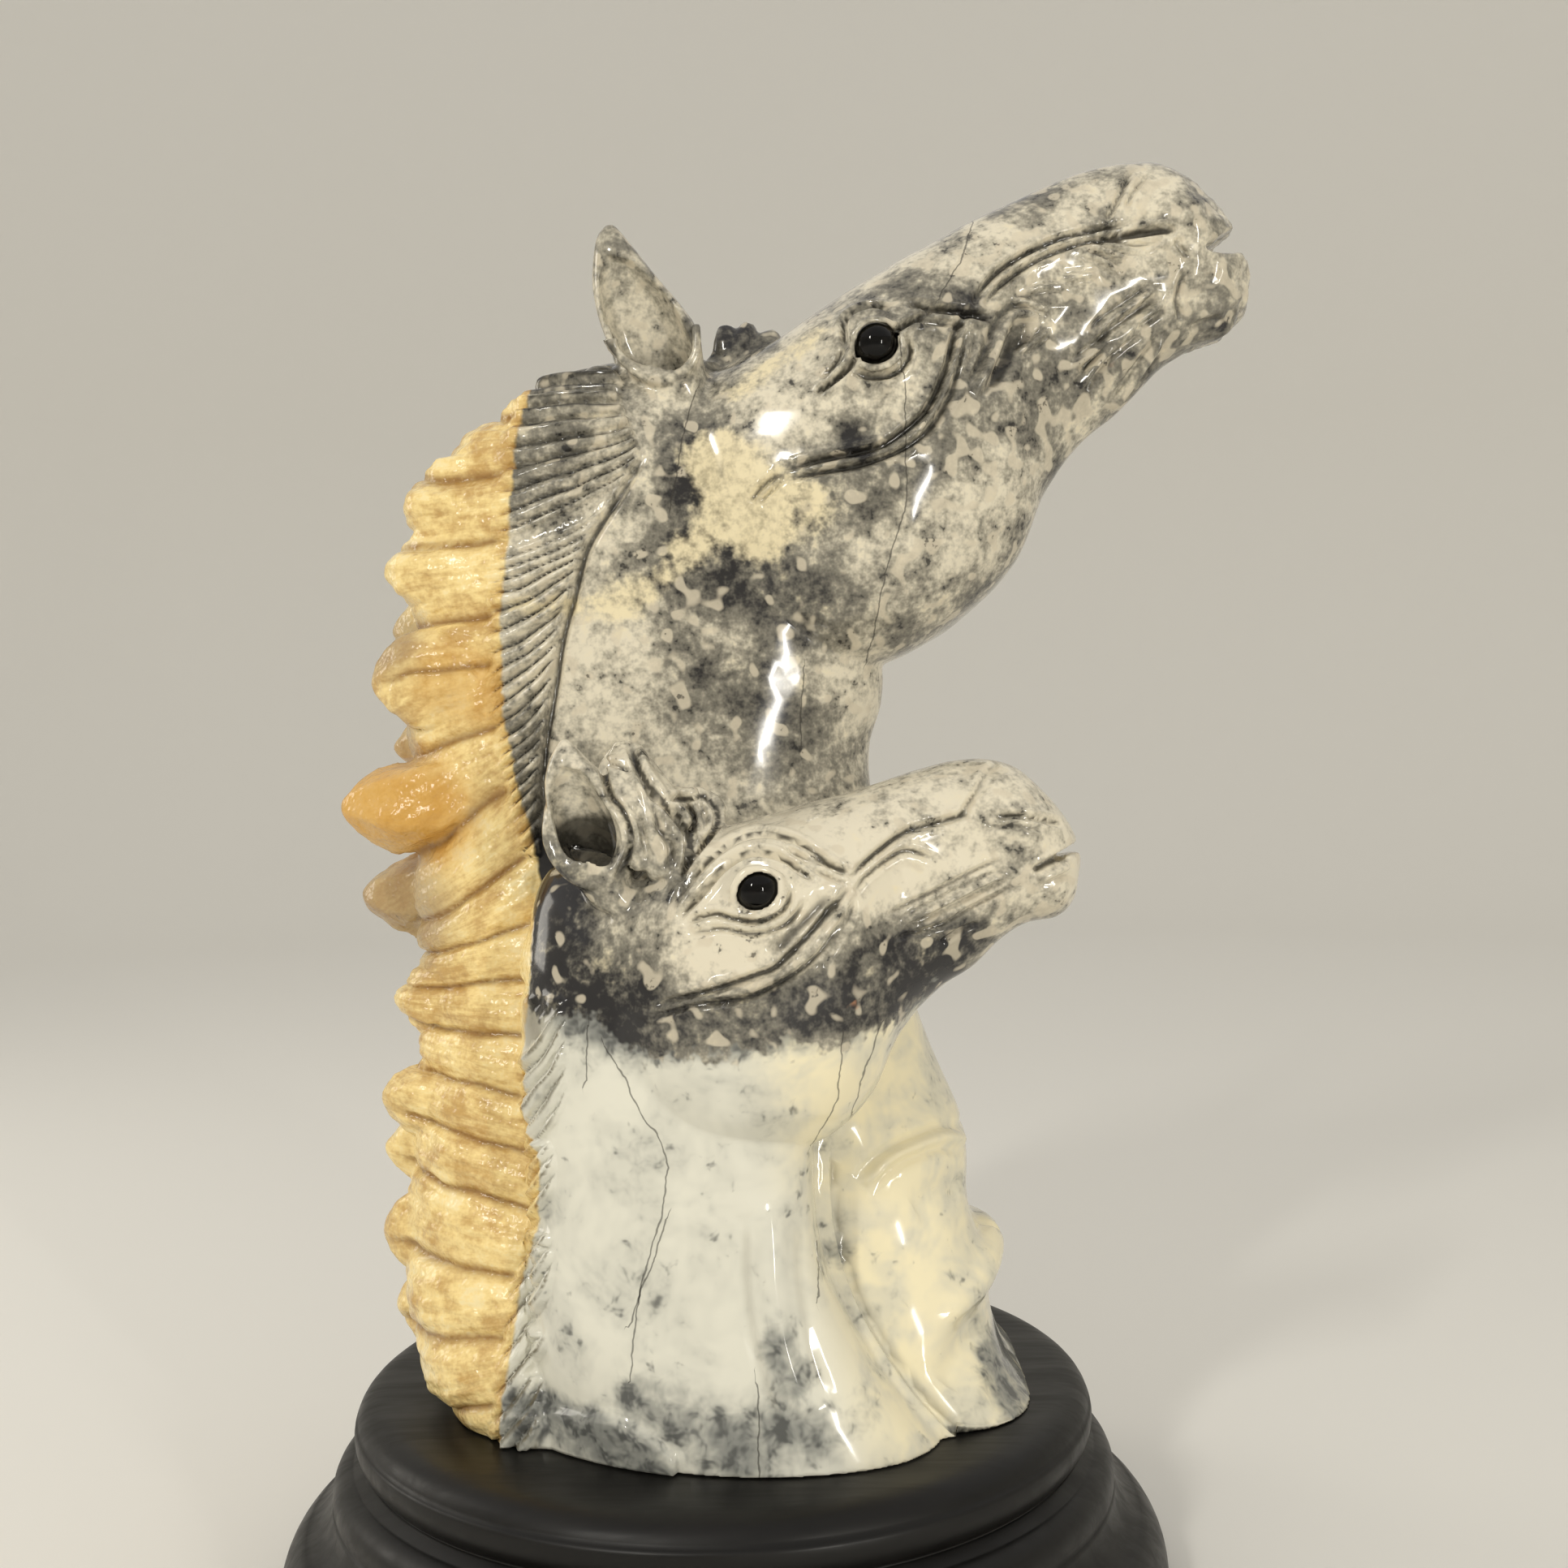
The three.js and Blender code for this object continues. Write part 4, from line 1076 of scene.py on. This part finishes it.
def linear(red, green, blue):
    """A colour read off the photograph, 0 to 255, as the renderer's own."""
    values = []
    for value in (red, green, blue):
        share = value / 255
        values.append(share / 12.92 if share <= 0.04045 else ((share + 0.055) / 1.055) ** 2.4)
    return (*values, 1.0)


class Nodes:
    """Builds one material's nodes."""

    def __init__(self, name):
        self.material = bpy.data.materials.new(name)
        self.material.use_nodes = True
        self.tree = self.material.node_tree
        self.shader = self.tree.nodes["Principled BSDF"]
        self.place = self.tree.nodes.new("ShaderNodeTexCoord").outputs["Object"]

    def put(self, socket, value):
        if isinstance(value, bpy.types.NodeSocket):
            self.tree.links.new(value, socket)
        else:
            socket.default_value = value

    def field(self, name):
        node = self.tree.nodes.new("ShaderNodeAttribute")
        node.attribute_name = name
        return node.outputs["Fac"]

    def math(self, operation, a, b=0.0, c=0.0):
        node = self.tree.nodes.new("ShaderNodeMath")
        node.operation = operation
        for socket, value in zip(node.inputs, (a, b, c)):
            self.put(socket, value)
        return node.outputs[0]

    def add(self, a, b):
        return self.math("ADD", a, b)

    def times(self, a, b):
        return self.math("MULTIPLY", a, b)

    def step(self, value, low, high, to_low=0.0, to_high=1.0):
        node = self.tree.nodes.new("ShaderNodeMapRange")
        node.interpolation_type = "SMOOTHSTEP"
        ends = {"From Min": low, "From Max": high, "To Min": to_low, "To Max": to_high}
        for name, number in ends.items():
            node.inputs[name].default_value = number
        self.put(node.inputs["Value"], value)
        return node.outputs["Result"]

    def noise(self, size, detail=4.0, roughness=0.55, distortion=0.0, place=None):
        """Noise with features of about that size in millimetres."""
        node = self.tree.nodes.new("ShaderNodeTexNoise")
        node.inputs["Scale"].default_value = 1 / (size * MM)
        node.inputs["Detail"].default_value = detail
        node.inputs["Roughness"].default_value = roughness
        node.inputs["Distortion"].default_value = distortion
        self.put(node.inputs["Vector"], place or self.place)
        return node.outputs["Fac"]

    def mix(self, share, a, b):
        node = self.tree.nodes.new("ShaderNodeMix")
        node.data_type = "RGBA"
        self.put(node.inputs["Factor"], share)
        self.put(node.inputs[6], a)
        self.put(node.inputs[7], b)
        return node.outputs[2]

    def stretched(self, x, y, z):
        """The place, scaled along each axis."""
        node = self.tree.nodes.new("ShaderNodeVectorMath")
        node.operation = "MULTIPLY"
        node.inputs[1].default_value = (x, y, z)
        self.put(node.inputs[0], self.place)
        return node.outputs[0]

    def joined(self, x, y, z):
        node = self.tree.nodes.new("ShaderNodeCombineXYZ")
        for socket, value in zip(node.inputs, (x, y, z)):
            self.put(socket, value)
        return node.outputs[0]

    def bump(self, height, distance, strength):
        node = self.tree.nodes.new("ShaderNodeBump")
        node.inputs["Distance"].default_value = distance * MM
        node.inputs["Strength"].default_value = strength
        self.put(node.inputs["Height"], height)
        return node.outputs["Normal"]


def grey_stone(n):
    """Mottled grey with dark clouds, cream flecks and cream patches."""
    mottle = n.add(n.noise(9, 3, 0.68, 0.3), -0.5)
    grain = n.add(n.noise(2.2, 2, 0.7), -0.5)
    tone = n.add(n.times(n.field("clouds"), 0.24), n.times(mottle, 1.5))
    tone = n.add(tone, n.times(grain, 1.0))
    tone = n.add(tone, n.times(n.field("light"), 0.42))
    tone = n.add(tone, n.times(n.field("dark"), -0.56))
    grey = n.mix(n.step(tone, -0.6, 0.02), linear(42, 41, 42), linear(130, 126, 114))
    grey = n.mix(n.step(tone, -0.14, 0.52), grey, linear(224, 216, 195))
    islands = n.add(n.noise(4.0, 0), n.times(n.field("speckled"), 0.07))
    flecks = n.step(n.add(islands, n.times(n.field("dark"), -0.06)), 0.62, 0.72)
    grey = n.mix(n.times(flecks, 0.7), grey, linear(212, 202, 180))
    specks = n.step(n.add(grain, n.times(mottle, 0.8)), -0.18, -0.28)
    grey = n.mix(n.times(specks, 0.7), grey, linear(40, 39, 38))
    ragged = n.add(n.times(mottle, 2.0), n.times(grain, 0.8))
    cream = n.step(n.add(n.field("cream"), ragged), 0.2, 0.95)
    creamy = n.mix(n.step(n.add(mottle, grain), -0.2, 0.2), linear(200, 188, 156), linear(234, 221, 184))
    return n.mix(n.times(cream, 0.9), grey, creamy)


def pale_stone(n):
    """White to cream with bluish grey clouds and small dark smudges."""
    cloud = n.noise(18, 3, 0.66, 0.3)
    fine = n.noise(4, 2, 0.7, 0.3)
    base = n.mix(n.field("warm"), linear(226, 224, 210), linear(244, 234, 200))
    base = n.mix(n.step(cloud, 0.38, 0.6, 0.0, 0.6), base, linear(204, 203, 191))
    shade = n.add(n.add(cloud, n.times(fine, 0.5)), n.times(n.field("dark"), 0.45))
    base = n.mix(n.step(shade, 0.76, 1.2, 0.0, 0.9), base, linear(124, 126, 122))
    smudges = n.step(n.add(n.add(fine, n.times(cloud, 0.6)), n.times(n.field("dark"), 0.2)), 0.94, 1.16)
    return n.mix(n.times(smudges, 0.8), base, linear(72, 73, 72))


def golden_stone(n):
    """Honey coloured crystal with streaks along its layers."""
    down = n.times(n.field("blade"), 0.55)
    inwards = n.times(n.field("vein"), 0.12)
    along = n.joined(down, inwards, n.times(n.field("warm"), 3.0))
    streaks = n.noise(1000, 3, 0.68, 0.3, along)
    grain = n.noise(2.4, 2, 0.72)
    patches = n.noise(13, 1, 0.6, 0.5)
    tone = n.add(n.add(n.times(streaks, 0.4), n.times(grain, 0.35)), n.times(patches, 0.6))
    gold = n.mix(n.step(tone, 0.5, 0.78), linear(198, 162, 100), linear(246, 221, 155))
    gold = n.mix(n.step(tone, 0.72, 0.86), gold, linear(246, 228, 176))
    gold = n.mix(n.times(n.field("amber"), 0.8), gold, linear(206, 154, 68))
    return n.mix(n.times(n.field("smoky"), 0.7), gold, linear(158, 134, 102))


def crack_line(n, signed, gap, wander):
    """A thin line where the signed distance passes zero, close to the crack."""
    line = n.step(n.math("ABSOLUTE", n.add(n.field(signed), wander)), 0.26, 0.08)
    return n.times(line, n.step(n.field(gap), 3.0, 2.0))


def stone_material():
    n = Nodes("carved_stone")
    wobble = n.add(n.noise(4.5, 2, 0.65), -0.5)
    is_pale = n.step(n.add(n.field("pale"), n.times(wobble, 14)), -1.0, 1.4)
    is_gold = n.step(n.add(n.field("vein"), n.times(wobble, 2.0)), -0.5, 0.5)
    colour = n.mix(is_pale, grey_stone(n), pale_stone(n))
    rust = n.step(n.add(n.field("rust"), wobble), 0.4, 0.7)
    colour = n.mix(n.times(rust, 0.6), colour, linear(206, 148, 108))
    wander = n.times(wobble, 1.6)
    cracks = crack_line(n, "crack", "crack_gap", wander)
    cracks = n.add(cracks, crack_line(n, "side_crack", "side_gap", wander))
    colour = n.mix(n.times(cracks, 0.7), colour, linear(56, 53, 48))
    colour = n.mix(is_gold, colour, golden_stone(n))
    # Darkened where the hollow field is high: dirt and painted shade in the carved lines, and painted shade
    # in the mane's valleys, the vein's seams, the ears' hollows and the chest's step
    dirt_and_shade = n.step(n.field("hollow"), 0.2, 0.9)
    dirt_and_shade_colour = n.mix(is_pale, linear(30, 28, 24), linear(112, 104, 82))
    dirt_and_shade_colour = n.mix(is_gold, dirt_and_shade_colour, linear(140, 100, 48))
    colour = n.mix(n.times(dirt_and_shade, 0.85), colour, dirt_and_shade_colour)
    n.put(n.shader.inputs["Base Color"], colour)
    n.put(n.shader.inputs["Roughness"], n.math("MULTIPLY_ADD", is_gold, 0.12, 0.12))
    n.shader.inputs["IOR"].default_value = 1.46
    n.put(n.shader.inputs["Normal"], n.bump(n.times(n.noise(1.8, 1, 0.7), is_gold), 0.6, 0.7))
    return n.material


def bead_material():
    n = Nodes("eye_bead")
    depth = n.noise(2.5, 2)
    n.put(n.shader.inputs["Base Color"], n.mix(n.step(depth, 0.4, 0.7), linear(1, 1, 1), linear(9, 6, 4)))
    n.shader.inputs["Roughness"].default_value = 0.02
    n.shader.inputs["Specular IOR Level"].default_value = 0.25
    return n.material


def stand_material():
    n = Nodes("stand_wood")
    grain = n.noise(6, 3, 0.7, 0.4, n.stretched(0.15, 1, 1))
    n.put(n.shader.inputs["Base Color"], n.mix(grain, linear(7, 7, 6), linear(18, 16, 14)))
    n.put(n.shader.inputs["Roughness"], n.step(grain, 0.3, 0.7, 0.36, 0.5))
    n.shader.inputs["Specular IOR Level"].default_value = 0.3
    return n.material


def floor_material():
    n = Nodes("floor")
    n.shader.inputs["Base Color"].default_value = linear(235, 233, 227)
    n.shader.inputs["Roughness"].default_value = 0.9
    return n.material


def dress(obj, material, slot, *nodes):
    obj.data.materials.clear()
    obj.data.materials.append(material)
    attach(obj, "root")
    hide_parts(*nodes)


def make_bead(node, material):
    obj = ball(node + "_bead", *bead(node))
    obj.data.shade_smooth()
    dress(obj, material, "bead", node)


# The turned stand's outline as curves of three points: start, pull and end, as radius and height
STAND_CURVES = [
    [(105, 0), (108.5, 1), (108, 7)],
    [(108, 7), (107.5, 15), (102, 19)],
    [(102, 19), (96.5, 22), (95.5, 27)],
    [(95.5, 27), (96.5, 33), (91, 35)],
    [(91, 35), (89.5, 36), (88, 37)],
    [(88, 37), (91.5, 41), (90, 45)],
    [(90, 45), (88.5, 50), (82, 50)],
]


def turned(outline, sides):
    """Rings of points around the Z axis, one for each radius and height."""
    angle = np.linspace(0, 2 * np.pi, sides, endpoint=False)
    return np.array([[(r * math.cos(a), r * math.sin(a), z) for a in angle] for r, z in outline])


def make_stand(material):
    t = np.linspace(0, 1, 9)[:, None]
    outline = [(100, 0)]
    for start, pull, end in STAND_CURVES:
        curve = (1 - t) ** 2 * start + 2 * t * (1 - t) * np.array(pull) + t**2 * np.array(end)
        outline += [tuple(point) for point in curve]
    outline.append((78, STAND_TOP))
    stand = skin("turned_stand", turned(outline, 256))
    stand.data.shade_smooth()
    dress(stand, material, "stand", "round_stand")


# The floor's flat part, the radius of the sweep around it and the height of its rim, and how far the
# floor lies under the stand
FLOOR_RADIUS = 1800
SWEEP = 900
FLOOR_RIM = 1750
FLOOR_GAP = 0.2


def make_floor():
    """A round floor whose rim sweeps up all round, so that no horizon shows."""
    outline = [(0.01, 0), (900, 0), (FLOOR_RADIUS, 0)]
    for a in np.linspace(0.1, 1.5, 14):
        outline.append((FLOOR_RADIUS + SWEEP * math.sin(a), SWEEP - SWEEP * math.cos(a)))
    outline.append((FLOOR_RADIUS + SWEEP, FLOOR_RIM))
    rings = turned([(radius, height - FLOOR_GAP) for radius, height in outline], 96)
    grid = np.arange(rings.shape[0] * rings.shape[1]).reshape(rings.shape[:2])
    beside = np.roll(grid, -1, axis=1)
    quads = np.stack([grid[:-1], beside[:-1], beside[1:], grid[1:]], -1).reshape(-1, 4).tolist()
    mesh = bpy.data.meshes.new("floor")
    mesh.from_pydata((rings.reshape(-1, 3) * MM).tolist(), [], quads)
    mesh.shade_smooth()
    mesh.materials.append(floor_material())
    linked("floor", mesh)


# Area lights: name, place, width and height in metres, watts and colour; all face LIT_PLACE
LIT_PLACE = (0.0, 0.0, 0.2)
LIGHTS = [
    ("key", (-0.55, -0.95, 0.8), 0.05, 0.24, 4.5, (1, 0.97, 0.9)),
    ("strip", (0.6, -0.95, 0.3), 0.025, 0.3, 3, (1, 0.97, 0.9)),
    ("side", (-1.0, 0.2, 0.5), 0.3, 0.5, 2, (1, 0.95, 0.86)),
]
WORLD_COLOUR = (1, 0.97, 0.92, 1)
WORLD_STRENGTH = 0.67


def make_lights():
    for name, place, width, height, power, colour in LIGHTS:
        lamp = bpy.data.lights.new(name, "AREA")
        lamp.shape = "RECTANGLE"
        lamp.size = width
        lamp.size_y = height
        lamp.energy = power
        lamp.color = colour
        obj = linked(name, lamp)
        obj.location = place
        direction = np.array(LIT_PLACE) - np.array(obj.location)
        obj.rotation_euler = Vector(direction).to_track_quat("-Z", "Y").to_euler()
    world = bpy.context.scene.world or bpy.data.worlds.new("world")
    bpy.context.scene.world = world
    world.use_nodes = True
    background = world.node_tree.nodes["Background"]
    background.inputs["Color"].default_value = WORLD_COLOUR
    background.inputs["Strength"].default_value = WORLD_STRENGTH


# The photograph's camera: level, in front of the foal's side, turned a little about its own axis
CAMERA_PLACE = (0.017, -0.415, 0.196)
CAMERA_ROLL = -0.0157
CAMERA_FOCUS = 2033
PHOTO_SIZE = 1932


def make_camera():
    lens = bpy.data.cameras.new("camera")
    lens.sensor_fit = "HORIZONTAL"
    lens.angle = 2 * math.atan(PHOTO_SIZE / 2 / CAMERA_FOCUS)
    lens.clip_start = 0.01
    camera = linked("camera", lens)
    camera.location = CAMERA_PLACE
    camera.rotation_euler = (math.pi / 2, 0, 0)
    camera.rotation_euler.rotate_axis("Z", CAMERA_ROLL)
    bpy.context.scene.camera = camera


make_camera()
dress(carve_stone(), stone_material(), "stone", "carved_stone")
bead_look = bead_material()
for eye in EYES:
    make_bead(eye, bead_look)
make_stand(stand_material())
make_floor()
make_lights()
bpy.context.scene.view_settings.view_transform = "Standard"
